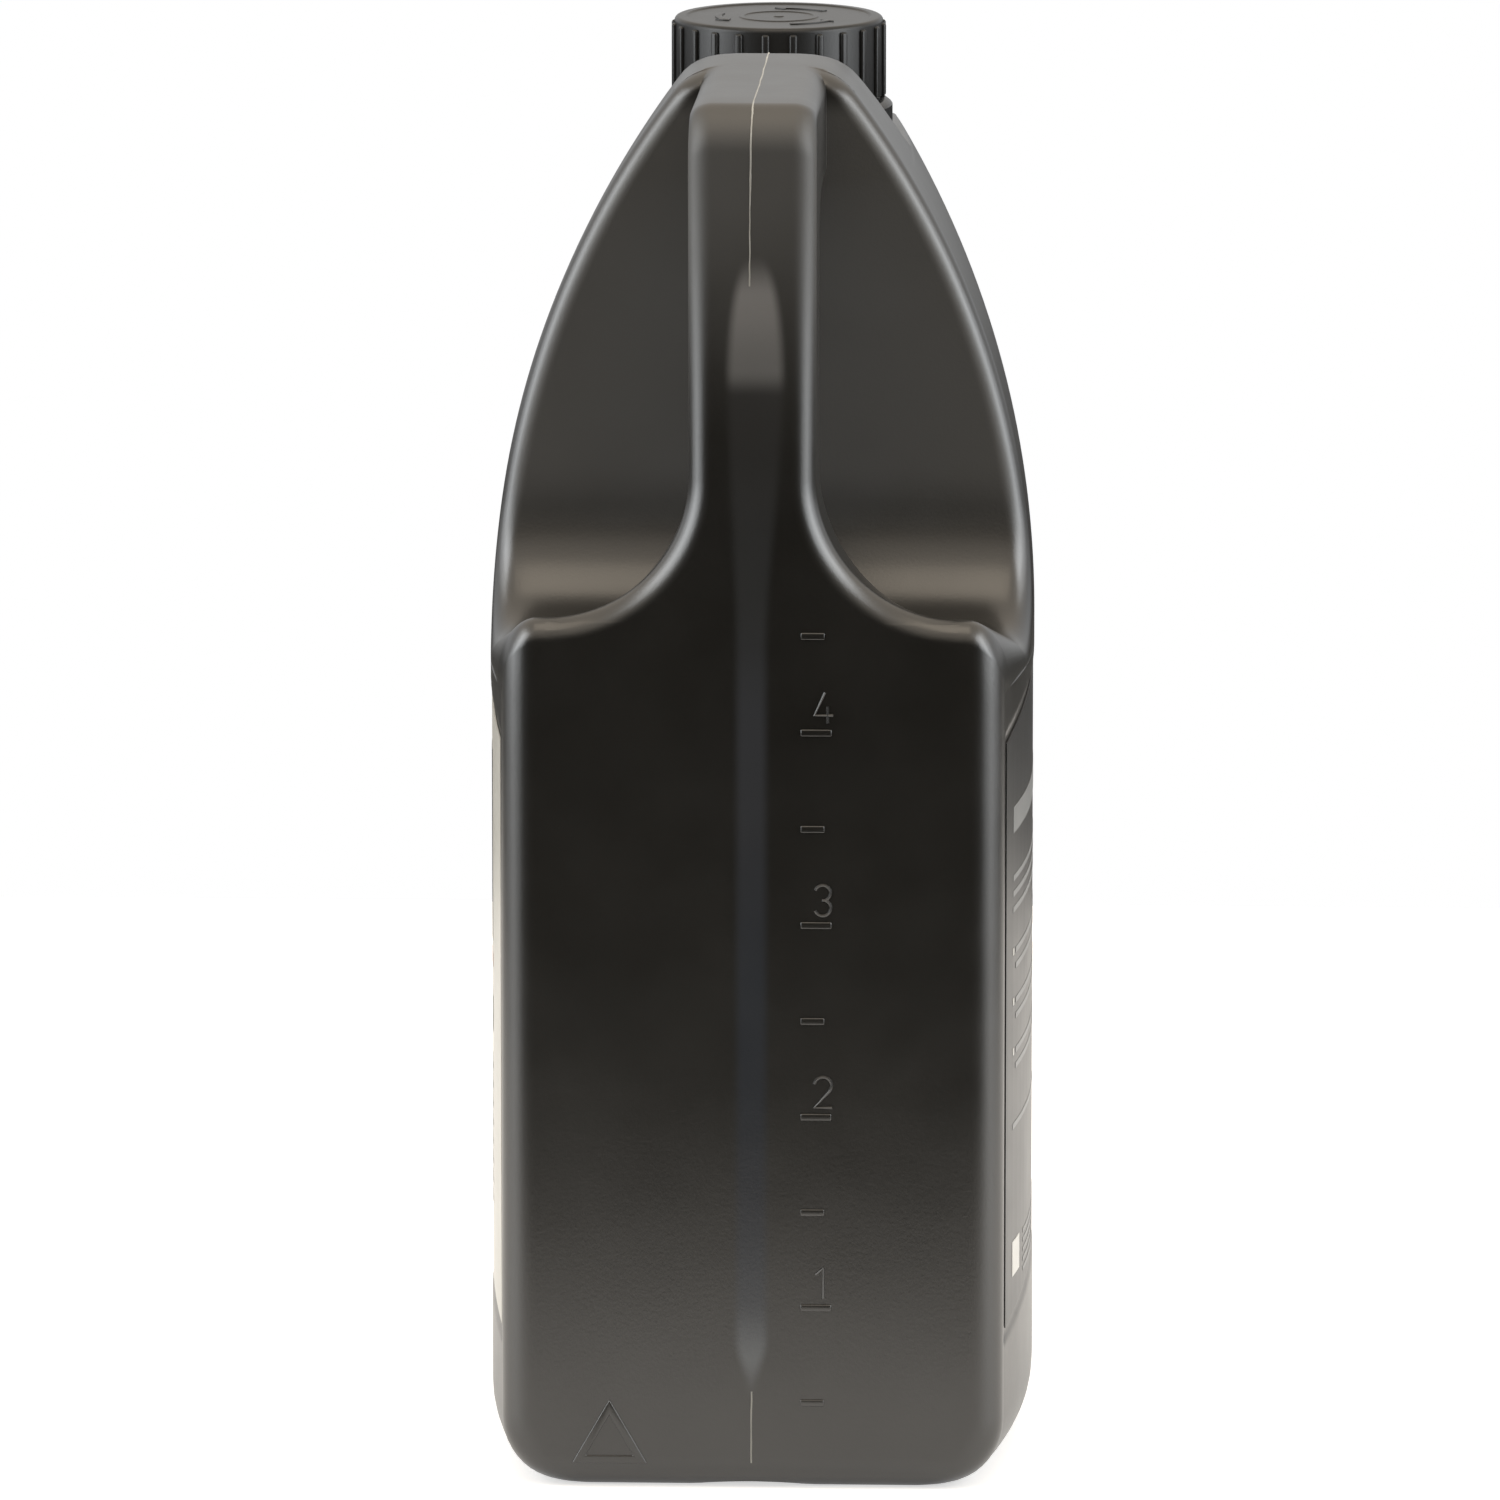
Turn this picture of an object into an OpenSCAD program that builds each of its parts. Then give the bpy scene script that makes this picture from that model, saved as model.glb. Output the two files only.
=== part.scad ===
// A five litre jug for transmission fluid: a blow-moulded body with a hollow handle at one end,
// a ribbed screw cap with a tamper ring, two film labels and the fill inside.
// Frame: origin at the middle of the base, +Z up, the handle end faces -Y, the broad sides face X.

/* [Body] */
// Width across the broad sides at their widest place
body_w = 123; // [116:1:134]
// Length from the handle end to the far end
body_l = 192; // [188:1:204]
// Height of the handle's top bar
handle_top = 314; // [308:1:322]
// Radius of the upright corners
corner_r = 8; // [7:0.5:12]
// Distance of the broad sides' widest place from the handle end
barrel_at = 66; // [58:1:80]
// Radius of their bulge ahead of that place, seen from above
front_barrel_r = 340; // [300:10:500]
// Radius of their bulge behind it
barrel_r = 800; // [600:50:1600]
// Radius of the base's edge along the broad sides
base_r = 15; // [10:0.5:18]
// Radius of the base's edge at the two ends
base_end_r = 6; // [4.5:0.5:8]
// Thickness of the side walls
wall = 1.4; // [1:0.1:2]
// Thickness of the base
base_wall = 2.8; // [2.4:0.1:4]

/* [Shoulders] */
// Height of the arch, from where the sides start to lean in to the handle's top
arch_h = 127; // [122:1:132]
// Radius of the pointed arch
arch_r = 200; // [190:1:215]
// Radius where the arch meets the flat ridge
ridge_r = 15; // [12:0.5:18]
// Rounding of the arch's front edge
arch_edge_r = 5; // [4:0.5:7]
// Depth of the platform that carries the neck below the handle's top
platform_drop = 25; // [23:0.5:29]
// Rounding of the far shoulder
shoulder_r = 10; // [6:0.5:14]
// Where the slope down to the platform starts, from the handle end
slope_start = 90; // [86:1:94]
// Where the slope reaches the platform, from the handle end
slope_end = 126; // [120:1:128]

/* [Handle] */
// Height of the handle above the rim at its foot
grip_h = 115.8; // [112:0.2:119]
// Rounding of the rim
shelf_r = 5; // [3:0.5:7]
// How far below the rim the sides start to round over to it
side_drop = 16.7; // [14.2:0.5:18.2]
// Width of that rounding
shelf_side_r = 16; // [12:0.5:20]
// Depth of the hollow behind the rim
trough_drop = 8.2; // [5.2:0.5:10.2]
// Depth from the handle end to the wall behind the handle
recess_depth = 64; // [60:1:68]
// Radius of the hollow at the foot of that wall
recess_r = 25; // [18:1:30]
// Width of the handle
grip_w = 28.5; // [26:0.5:31]
// Depth of the handle post
post_depth = 28; // [25:0.5:30]
// Height of the handle's top bar
bar_h = 27; // [24:0.5:29]
// Rounding of the handle's long edges
grip_edge_r = 5.5; // [4:0.5:7]
// Outer radius where the post bends into the bar
bend_r = 10; // [8:0.5:14]
// Radius of the finger gap's corners
gap_corner_r = 10; // [8:0.5:14]
// Radius of the foot that flares from the post to the rim
flare_r = 32; // [28:0.5:34]
// How far the foot spreads behind the post
flare_back = 14; // [10:0.5:16]

/* [Neck and cap] */
// Distance of the neck's axis from the handle end
neck_at = 156; // [155:0.5:158]
// Bore of the neck
neck_bore = 38; // [35:0.5:39]
// Outside diameter of the neck
neck_d = 43; // [42:0.5:44]
// Height of the neck above its platform
neck_h = 21.7; // [20:0.1:23]
// Diameter of the bead that holds the tamper ring
bead_d = 45.8; // [45.2:0.1:46]
// Outside diameter of the cap over its ribs
cap_d = 50; // [49:0.25:51]
// Inside diameter of the cap's skirt
cap_bore = 45.6; // [45.4:0.1:45.8]
// Height of the cap
cap_h = 18.4; // [17:0.1:19]
// Thickness of the cap's top
cap_top = 1.7; // [1.4:0.1:2]
// Number of ribs round the cap
rib_count = 24; // [18:1:30]
// Width of a rib
rib_w = 1.8; // [1.4:0.1:2.2]
// How far a rib stands out
rib_h = 0.8; // [0.5:0.1:1]
// Outside diameter of the tamper ring
ring_d = 52.8; // [51.5:0.1:53.5]
// Height of the tamper ring
ring_h = 5.4; // [4.6:0.1:5.6]
// Thickness of the sealing disc
liner_t = 1; // [0.8:0.1:1.2]
// Running clearance between separate pieces
clearance = 0.3; // [0.2:0.05:0.4]

/* [Labels and marks] */
// Depth of the label panels
panel_depth = 0.7; // [0.5:0.1:1]
// Distance of a panel's ends from the body's ends
panel_end = 8; // [7:0.5:14]
// Height of the panel's lower edge at its ends
panel_low = 31; // [26:1:34]
// Distance of the panel's upper edge at its ends from where the sides round over
panel_gap = 9.5; // [8.5:0.5:13.5]
// Rise of both edges at mid length
panel_rise = 8; // [5:0.5:10]
// Border between a label and its panel's edge
label_border = 3.5; // [3:0.5:6]
// Thickness of a label film
label_t = 0.3; // [0.25:0.05:0.5]
// Height of the half litre mark
mark_low = 20; // [18:0.5:22]
// Spacing of the half litre marks
mark_pitch = 21.9; // [21:0.1:22.1]
// Length of a litre mark
litre_mark = 7; // [6:0.1:8]
// Length of a half litre mark
half_mark = 5.4; // [4:0.1:5.8]
// Height of a raised mark above the wall
mark_relief = 0.4; // [0.3:0.05:0.6]
// Side of the raised triangle
triangle_side = 17; // [14:0.5:19]
// Depth of the fill's surface below the neck's platform
fill_drop = 38; // [27:1:59]

/* [Hidden] */
$fn = 96;
overlap = 1;
half_l = body_l / 2;
spring_z = handle_top - arch_h;
platform_z = handle_top - platform_drop;
shelf_z = handle_top - grip_h;
shelf_side_z = shelf_z - side_drop;
trough_z = shelf_z - trough_drop;
panel_high = shelf_side_z - panel_gap;
fill_z = platform_z - fill_drop;
arch_offset = arch_r - body_w / 2;
ridge_z = handle_top - ridge_r;
ridge_x = sqrt(pow(arch_r - ridge_r, 2) - pow(ridge_z - spring_z, 2)) - arch_offset;
ridge_sine = (ridge_z - spring_z) / (arch_r - ridge_r);
shoulder_sink = 0.8;
side_step = 0.25;
trough_run = recess_depth - recess_r - shelf_r;
trough_rise = trough_z + recess_r - shelf_z + shelf_r;
trough_turn = asin((shelf_r + recess_r) / norm([trough_run, trough_rise])) - atan2(trough_rise, trough_run);
front_shares = [0.2, 0.5, 0.72, 0.86, 0.95];
foot_sink = 6;
foot_bed = 0.1;
foot_shares = [0.97, 0.5];
bar_tuck = 1;
bar_end = slope_start - 12;
slope_rise = handle_top - platform_z;
slope_run = slope_end - slope_start;
slope_r = (slope_run * slope_run + slope_rise * slope_rise) / (4 * slope_rise);
slope_turn = asin(slope_run / (2 * slope_r));
groove_w = 30;
groove_depth = 1.2;
mark_x = 11;
mark_h = 1.6;
mark_below = 2;
mark_count = 1 + floor((shelf_z - mark_below - mark_low) / mark_pitch);
triangle_x = -32;
triangle_z = 5.7;
triangle_stroke = 1.8;
neck_top = platform_z + neck_h;
liner_z = neck_top + clearance;
cap_z = liner_z + liner_t + clearance + cap_top - cap_h;
ring_z = platform_z + clearance;
ring_lip = 1.3;
bead_z = ring_z + ring_lip + clearance;
bead_h = 1.8;
cap_edge = 1;
rib_top = 1.4;
rib_phase = -5;
panel_facets = 28;
fluid_gap = 0.6;
panel_span = half_l - panel_end;
panel_arc_r = (panel_span * panel_span + panel_rise * panel_rise) / (2 * panel_rise);
film_inset = panel_depth - clearance / 2;
mark_root = 0.7;

// Half width of the arched shoulders at height z, for a skin set in by t
function arch_half(z, t) =
    z <= spring_z ? body_w / 2 - t :
    z <= spring_z + (arch_r - t) * ridge_sine ?
        sqrt(pow(arch_r - t, 2) - pow(z - spring_z, 2)) - arch_offset :
        ridge_x + sqrt(max(0, pow(ridge_r - t, 2) - pow(z - ridge_z, 2)));

// How much narrower a broad side is at distance y from the handle end than at its widest place
function barrel(y) = pow(y - barrel_at, 2) / (2 * (y < barrel_at ? front_barrel_r : barrel_r));

// Front limit near the ridge, where the arch's front edge is rounded over the top
function arch_front(z, t) =
    let (rise = max(0, z - (handle_top - arch_edge_r)))
    recess_depth + t + arch_edge_r - sqrt(max(0.01, arch_edge_r * arch_edge_r - rise * rise));

// How far the ends are set in at height z of the base's edge, for a skin set in by t and a base by tb
function end_inset(z, t, tb) =
    let (u = max(0, base_end_r - z) / (base_end_r - tb))
    base_end_r - (base_end_r - t) * sqrt(max(0, 1 - u * u));

// Sections of the body from the base up:
// height, front, back, front and back corner radius, inset of the sides, lift of the front above that height
function body_sections(t, tb) = concat(
    [for (a = [0 : 15 : 90])
        let (z = base_r - (base_r - tb) * cos(a), e = end_inset(z, t, tb))
        [z, e, body_l - e, corner_r - t, corner_r - t, (base_r - t) * (1 - sin(a)), 0]],
    [for (k = [1 : 3])
        [base_r + (shelf_side_z - base_r) * k / 3, t, body_l - t, corner_r - t, corner_r - t, 0, 0]],
    [for (k = [0 : 5])
        let (a = (90 + trough_turn) * k / 5, r = shelf_r - t, z = shelf_side_z + side_step * (k + 1) / 6)
        [z, shelf_r - r * cos(a), body_l - t, corner_r - t, corner_r - t, 0,
            shelf_z - shelf_r + r * sin(a) - z]],
    [for (k = [0 : 7])
        let (
            a = (90 + trough_turn) * k / 7 - trough_turn,
            r = recess_r + t,
            high = trough_z + recess_r - r * cos(a),
            blend = min(1, k / 2),
            lift = a > 0 ?
                (trough_z - t - shelf_side_z - 2 * side_step) * cos(a) :
                high - shelf_side_z - 2 * side_step - side_step * a / (2 * trough_turn)
        )
        [high - lift, recess_depth - recess_r + r * sin(a), body_l - t,
            corner_r * (1 - blend) + arch_edge_r * blend - t, corner_r - t, 0, lift]],
    [for (k = [1 : 4])
        let (low = trough_z + recess_r, high = platform_z - shoulder_sink - shoulder_r)
        [low + (high - low) * k / 5, recess_depth + t, body_l - t, arch_edge_r - t, corner_r - t, 0, 0]],
    [for (a = [0 : 22.5 : 90])
        let (r = shoulder_r - t, z = platform_z - shoulder_sink - shoulder_r + r * sin(a))
        [z, recess_depth + t, body_l - shoulder_r + r * cos(a), arch_edge_r - t, corner_r - t, 0, 0]],
    [for (k = [0 : 4])
        let (a = slope_turn * k / 4, r = slope_r + t)
        [platform_z + slope_r - r * cos(a), recess_depth + t, slope_end - r * sin(a),
            arch_edge_r - t, corner_r * (1 - k / 8) - t, 0, 0]],
    [for (k = [1 : 5])
        let (a = slope_turn * (1 - k / 5), r = slope_r - t, z = handle_top - slope_r + r * cos(a))
        [z, arch_front(z + t, t), slope_start + r * sin(a), arch_edge_r - t, arch_edge_r - t, 0, 0]]
);

// Share of the front's lift at half width x, which rounds off towards the side at x0
function dome(x, x0, t) =
    let (w = shelf_side_r - t, q = max(0, x - x0 + w) / w)
    sqrt(max(0, 1 - q * q));

// One half of a section, from the middle of its front to the middle of its back: half width, distance, lift
function half_outline(s, t, steps) =
    let (
        wide = arch_half(s[0], t) - s[5],
        rf = min(s[3], wide * 0.6),
        rb = min(s[4], wide * 0.6),
        y0 = s[1] + rf,
        y1 = s[2] - rb,
        x0 = wide - barrel(y0),
        x1 = wide - barrel(y1),
        front = concat(
            [for (u = front_shares) [(x0 - rf) * u, s[1]]],
            [for (k = [0 : steps]) let (a = 90 * k / steps) [x0 - rf + rf * sin(a), y0 - rf * cos(a)]]
        )
    )
    concat(
        [for (p = front) [p[0], p[1], s[6] * dome(p[0], x0, t)]],
        [for (k = [1 : steps]) let (y = y0 + (y1 - y0) * k / (steps + 1)) [wide - barrel(y), y, 0]],
        [for (k = [0 : steps]) let (a = 90 * k / steps) [x1 - rb + rb * cos(a), y1 + rb * sin(a), 0]],
        [for (k = [0 : 2]) [(x1 - rb) * (2.5 - k) / 3, s[2], 0]]
    );

// A whole section as points in space
function ring(s, t, steps) =
    let (half = half_outline(s, t, steps), n = len(half))
    concat(
        [for (p = half) [p[0], p[1] - half_l, s[0] + p[2]]],
        [for (k = [n - 1 : -1 : 0]) [-half[k][0], half[k][1] - half_l, s[0] + half[k][2]]]
    );

// A closed skin over a row of rings with equal numbers of points
module loft(rings) {
    n = len(rings[0]);
    last = len(rings) - 1;
    points = [for (r = rings) each r];
    sides = [for (i = [0 : last - 1], k = [0 : n - 1], h = [0, 1])
        let (a = i * n + k, b = i * n + (k + 1) % n)
        h == 0 ? [a, a + n, b] : [b, a + n, b + n]];
    bottom = [for (k = [0 : n - 1]) k];
    top = [for (k = [n - 1 : -1 : 0]) last * n + k];
    polyhedron(points, concat([bottom, top], sides), convexity = 8);
}

// The jug without its handle, its skin set in by t and its base by tb
module body_form(t, tb, steps) {
    loft([for (s = body_sections(t, tb)) ring(s, t, steps)]);
}

// One section of the handle's flared foot, where the flare has turned by a and the section lies d lower
function foot_section(a, d) =
    let (spread = 1 - sin(a), sunk = foot_bed + d, z = shelf_z + flare_r * (1 - cos(a)) - sunk)
    [[d > shelf_r ? foot_bed : 0, z],
        [post_depth + flare_back * spread, z - trough_drop * spread],
        grip_w / 2 + flare_r * spread, grip_edge_r + flare_back * spread,
        shelf_r + (grip_edge_r - shelf_r) * sin(a), flare_r * cos(a) + sunk];

// Sections of the handle: outer and inner edge in the plane of symmetry, half width,
// inner and outer corner radius, height below the flare's centre
function grip_sections() = concat(
    [foot_section(0, foot_sink)],
    [for (u = foot_shares) foot_section(0, shelf_r * u)],
    [for (a = [0 : 15 : 90]) foot_section(a, 0)],
    [for (a = [0 : 15 : 90])
        [[bend_r * (1 - cos(a)), handle_top - bend_r * (1 - sin(a))],
            [post_depth + gap_corner_r * (1 - cos(a)), handle_top - bar_h - gap_corner_r * (1 - sin(a))],
            grip_w / 2, grip_edge_r, grip_edge_r, 0]],
    [[[bar_end, handle_top - bar_tuck], [bar_end, handle_top - bar_h],
        grip_w / 2, grip_edge_r, grip_edge_r, 0]]
);

// Half width at distance g inside the outline of the post and its flares, v below the flares' centres
function grip_half(g, v) = grip_w / 2 + flare_r - sqrt(max(0, pow(flare_r + g, 2) - v * v));

// One rounded section of the handle, set in by t
function grip_ring(s, t, steps) =
    let (
        across = s[1] - s[0],
        deep = norm(across),
        d = across / deep,
        r0 = s[4] - t,
        r1 = s[3] - t,
        outer = [for (k = [0 : steps])
            let (a = 90 * k / steps, q = t + r0 * (1 - cos(a)), v = s[5] == 0 ? 0 : s[5] - d[1] * q)
            [grip_half(t + r0 * (1 - sin(a)), v), q]],
        inner = [for (k = [0 : steps])
            let (a = 90 * k / steps)
            [s[2] - t - r1 + r1 * cos(a), deep - t - r1 + r1 * sin(a)]],
        half = concat(outer, inner),
        n = len(half)
    )
    [for (k = [0 : 2 * n - 1])
        let (p = k < n ? half[k] : half[2 * n - 1 - k], c = s[0] + d * p[1])
        [k < n ? p[0] : -p[0], c[0] - half_l, c[1]]];

// The handle's post, bend and bar, set in by t
module grip_form(t, steps) {
    loft([for (s = grip_sections()) grip_ring(s, t, steps)]);
}

// The whole jug without its neck, set in by t at the walls and tb at the base
module jug_form(t, tb, body_steps, grip_steps) {
    body_form(t, tb, body_steps);
    grip_form(t, grip_steps);
}

// Outline of a label panel in the plane of the broad side, grown by g
module panel_outline(g) {
    intersection() {
        square([2 * (panel_span + g), 2 * handle_top], center = true);
        difference() {
            translate([0, panel_high + panel_rise - panel_arc_r])
                circle(panel_arc_r + g, $fn = 240);
            translate([0, panel_low + panel_rise - panel_arc_r])
                circle(panel_arc_r - g, $fn = 240);
        }
    }
}

// Stands an outline drawn in Y and Z up against the +X side, from x0 outwards
module on_side(x0, thick) {
    translate([x0, 0, 0])
        rotate([90, 0, 90])
            linear_extrude(thick)
                children();
}

// Plan of the +X half of the body, its broad side set in by t
module side_plan(t) {
    side = [for (k = [0 : panel_facets])
        let (y = body_l * k / panel_facets)
        [body_w / 2 - t - barrel(y), y - half_l]];
    polygon(concat([[0, -half_l]], side, [[0, half_l]]));
}

// What is cut from the +X side for a label panel, its floor set in by t
module panel_cut(t) {
    difference() {
        on_side(body_w / 4, body_w)
            panel_outline(t);
        linear_extrude(handle_top)
            side_plan(panel_depth + t);
    }
}

// Both panels
module panel_cuts(t) {
    panel_cut(t);
    mirror([1, 0, 0])
        panel_cut(t);
}

// The shallow channel along the middle of the base
module base_groove(depth) {
    r = (groove_w * groove_w / 4 + depth * depth) / (2 * depth);
    translate([0, 0, depth - r])
        rotate([90, 0, 0])
            cylinder(h = 2 * body_l, r = r, center = true, $fn = 240);
}

// Places a piece on the neck's axis
module at_neck() {
    translate([0, neck_at - half_l, 0])
        children();
}

// The blow-moulded skin, open where the neck stands, brought to its full outside size
module moulded_skin() {
    resize([body_w, body_l, handle_top])
        difference() {
            jug_form(0, 0, 6, 4);
            panel_cuts(0);
            base_groove(groove_depth);
            difference() {
                jug_form(wall, base_wall, 5, 3);
                panel_cuts(wall);
            }
            at_neck()
                translate([0, 0, platform_z - shoulder_r])
                    cylinder(h = 2 * shoulder_r, d = (neck_bore + neck_d) / 2);
        }
}

// The neck's tube with the bead that holds the tamper ring
module neck() {
    bore_r = neck_bore / 2;
    neck_r = neck_d / 2;
    at_neck()
        rotate_extrude()
            polygon([
                [bore_r, platform_z - wall - overlap], [neck_r, platform_z - wall - overlap],
                [neck_r, bead_z], [bead_d / 2, bead_z],
                [bead_d / 2, bead_z + bead_h / 2], [neck_r, bead_z + bead_h],
                [neck_r, neck_top], [bore_r, neck_top]
            ]);
}

// Raised bars at each half litre, longer at the full litres
module scale_marks() {
    for (k = [1 : mark_count])
        translate([mark_x, -half_l - mark_relief, mark_low + mark_pitch * (k - 1) - mark_h / 2])
            cube([k % 2 == 0 ? litre_mark : half_mark, mark_relief + mark_root, mark_h]);
}

// A triangle's outline, point up, with its base line on the X axis
module triangle(side) {
    polygon([[-side / 2, 0], [side / 2, 0], [0, side * sqrt(3) / 2]]);
}

// Raised outline triangle low on the handle end
module raised_triangle() {
    inner = triangle_side - 2 * sqrt(3) * triangle_stroke;
    translate([triangle_x, mark_root - half_l, triangle_z])
        rotate([90, 0, 0])
            linear_extrude(mark_root + mark_relief)
                difference() {
                    triangle(triangle_side);
                    translate([0, triangle_stroke])
                        triangle(inner);
                }
}

module bottle_body() {
    color("#2b2c2b")
        union() {
            moulded_skin();
            neck();
            scale_marks();
            raised_triangle();
        }
}

module screw_cap() {
    skirt_r = cap_d / 2 - rib_h;
    color("#4a4d4f")
        at_neck()
            translate([0, 0, cap_z]) {
                rotate_extrude()
                    polygon([
                        [cap_bore / 2, 0], [skirt_r, 0], [skirt_r, cap_h - cap_edge],
                        [skirt_r - cap_edge, cap_h], [0, cap_h], [0, cap_h - cap_top],
                        [cap_bore / 2, cap_h - cap_top]
                    ]);
                for (k = [0 : rib_count - 1])
                    rotate(360 * k / rib_count + rib_phase)
                        translate([skirt_r - overlap / 2, -rib_w / 2, 0])
                            cube([rib_h + overlap / 2, rib_w, cap_h - rib_top]);
            }
}

module tamper_ring() {
    lip_r = neck_d / 2 + clearance;
    inner_r = bead_d / 2 + clearance;
    top_r = cap_d / 2;
    color("#55585a")
        at_neck()
            rotate_extrude()
                polygon([
                    [lip_r, ring_z], [ring_d / 2, ring_z], [ring_d / 2, ring_z + ring_h - cap_edge],
                    [top_r, ring_z + ring_h], [inner_r, ring_z + ring_h],
                    [inner_r, ring_z + ring_lip], [lip_r, ring_z + ring_lip]
                ]);
}

module cap_liner() {
    color("#e4e4dd")
        at_neck()
            translate([0, 0, liner_z])
                cylinder(h = liner_t, d = cap_bore - 2 * clearance);
}

// A film on the +X panel
module label_film() {
    intersection() {
        on_side(body_w / 4, body_w / 2)
            panel_outline(-label_border);
        linear_extrude(handle_top)
            difference() {
                side_plan(film_inset - label_t);
                side_plan(film_inset);
            }
    }
}

module front_label() {
    color("#d9dad6")
        mirror([1, 0, 0])
            label_film();
}

module back_label() {
    color("#3a3b3c")
        label_film();
}

// The fill, just clear of the walls
module fluid() {
    t = wall + fluid_gap;
    color("#7a1d22")
        resize([body_w - 2 * t, body_l - 2 * t, 0])
            intersection() {
                difference() {
                    jug_form(t, base_wall + fluid_gap, 4, 2);
                    panel_cuts(t);
                }
                translate([0, 0, fill_z / 2])
                    cube([2 * body_w, 2 * body_l, fill_z], center = true);
            }
}

bottle_body();
screw_cap();
tamper_ring();
cap_liner();
front_label();
back_label();
fluid();
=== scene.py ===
"""Looks of a five litre jug for transmission fluid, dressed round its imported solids."""
import logging
import math
from dataclasses import dataclass
from enum import Enum

import bmesh
import bpy
import numpy as np
from mathutils import Matrix, Vector


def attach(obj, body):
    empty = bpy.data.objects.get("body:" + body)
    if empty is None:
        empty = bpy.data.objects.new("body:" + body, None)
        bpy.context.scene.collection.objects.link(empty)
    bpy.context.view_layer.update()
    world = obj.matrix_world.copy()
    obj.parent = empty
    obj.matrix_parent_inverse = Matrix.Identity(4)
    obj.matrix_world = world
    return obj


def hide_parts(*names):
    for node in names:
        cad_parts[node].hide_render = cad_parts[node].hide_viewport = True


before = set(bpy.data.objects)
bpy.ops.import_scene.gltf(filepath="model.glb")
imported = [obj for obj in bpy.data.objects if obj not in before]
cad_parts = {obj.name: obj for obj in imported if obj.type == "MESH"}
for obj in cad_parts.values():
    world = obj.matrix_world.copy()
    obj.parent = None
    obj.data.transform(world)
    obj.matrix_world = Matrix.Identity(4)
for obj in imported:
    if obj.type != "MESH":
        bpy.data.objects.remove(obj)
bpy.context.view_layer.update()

LOG = logging.getLogger("jug")
MM = 0.001
NECK_Y = 60.0
THREAD_LEAD = 6.0333
BLOCK_FACES = [(0, 1, 3, 2), (4, 6, 7, 5), (0, 4, 5, 1), (2, 3, 7, 6), (0, 2, 6, 4), (1, 5, 7, 3)]


class Body(Enum):
    """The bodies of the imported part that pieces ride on."""

    BOTTLE = "bottle"
    CAP = "cap"
    LINER = "liner"


class Slot(Enum):
    """The record's material slots."""

    BODY = "body_plastic"
    CAP = "cap_plastic"
    LINER = "liner_foam"
    PALE = "pale_film"
    DARK = "dark_film"
    FLUID = "fluid"


class Side(Enum):
    """The two broad sides, by the sign of x."""

    PALE = -1
    DARK = 1


def smooth_step(u: np.ndarray | float) -> np.ndarray:
    """Return u eased from 0 to 1, with u held between them."""
    v = np.clip(u, 0.0, 1.0)
    return v * v * (3.0 - 2.0 * v)


def linear(code: str) -> tuple[float, float, float, float]:
    """Turn a screen colour into the linear colour that shaders use.

    Args:
        code: Six hex digits.

    Returns:
        Red, green, blue and an alpha of 1.
    """
    parts = [int(code[i : i + 2], 16) / 255 for i in (0, 2, 4)]
    r, g, b = (c / 12.92 if c <= 0.04045 else ((c + 0.055) / 1.055) ** 2.4 for c in parts)
    return r, g, b, 1.0


class Graph:
    """A short way to add and join nodes in a node tree."""

    def __init__(self, tree: bpy.types.NodeTree) -> None:
        """Keep the tree that nodes are added to."""
        self.tree = tree

    def add(self, kind: str, links: dict | None = None, **settings: object) -> bpy.types.Node:
        """Add a node.

        Args:
            kind: The node's type name.
            links: Input name or number to a value, or to a socket that feeds it.
            settings: Attributes of the node itself.

        Returns:
            The new node.
        """
        node = self.tree.nodes.new(kind)
        for key, value in settings.items():
            setattr(node, key, value)
        for key, value in (links or {}).items():
            if isinstance(value, bpy.types.NodeSocket):
                self.tree.links.new(value, node.inputs[key])
            else:
                node.inputs[key].default_value = value
        return node

    def math(self, operation: str, *values: object) -> bpy.types.NodeSocket:
        """Add a Math node over numbers or sockets and return its output."""
        return self.add("ShaderNodeMath", dict(enumerate(values)), operation=operation).outputs[0]

    def ramp(
        self, value: object, low: float, high: float, kind: str = "SMOOTHSTEP"
    ) -> bpy.types.NodeSocket:
        """Return a rise from 0 at low to 1 at high, smooth unless another kind is given."""
        links = {"Value": value, "From Min": low, "From Max": high}
        node = self.add("ShaderNodeMapRange", links, interpolation_type=kind)
        return node.outputs["Result"]

    def mix(self, factor: object, a: object, b: object) -> bpy.types.NodeSocket:
        """Return a colour mixed from a to b."""
        node = self.add("ShaderNodeMix", {"Factor": factor}, data_type="RGBA")
        for key, value in (("A", a), ("B", b)):
            socket = next(s for s in node.inputs if s.name == key and s.type == "RGBA")
            if isinstance(value, bpy.types.NodeSocket):
                self.tree.links.new(value, socket)
            else:
                socket.default_value = value
        return next(s for s in node.outputs if s.type == "RGBA")


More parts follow.
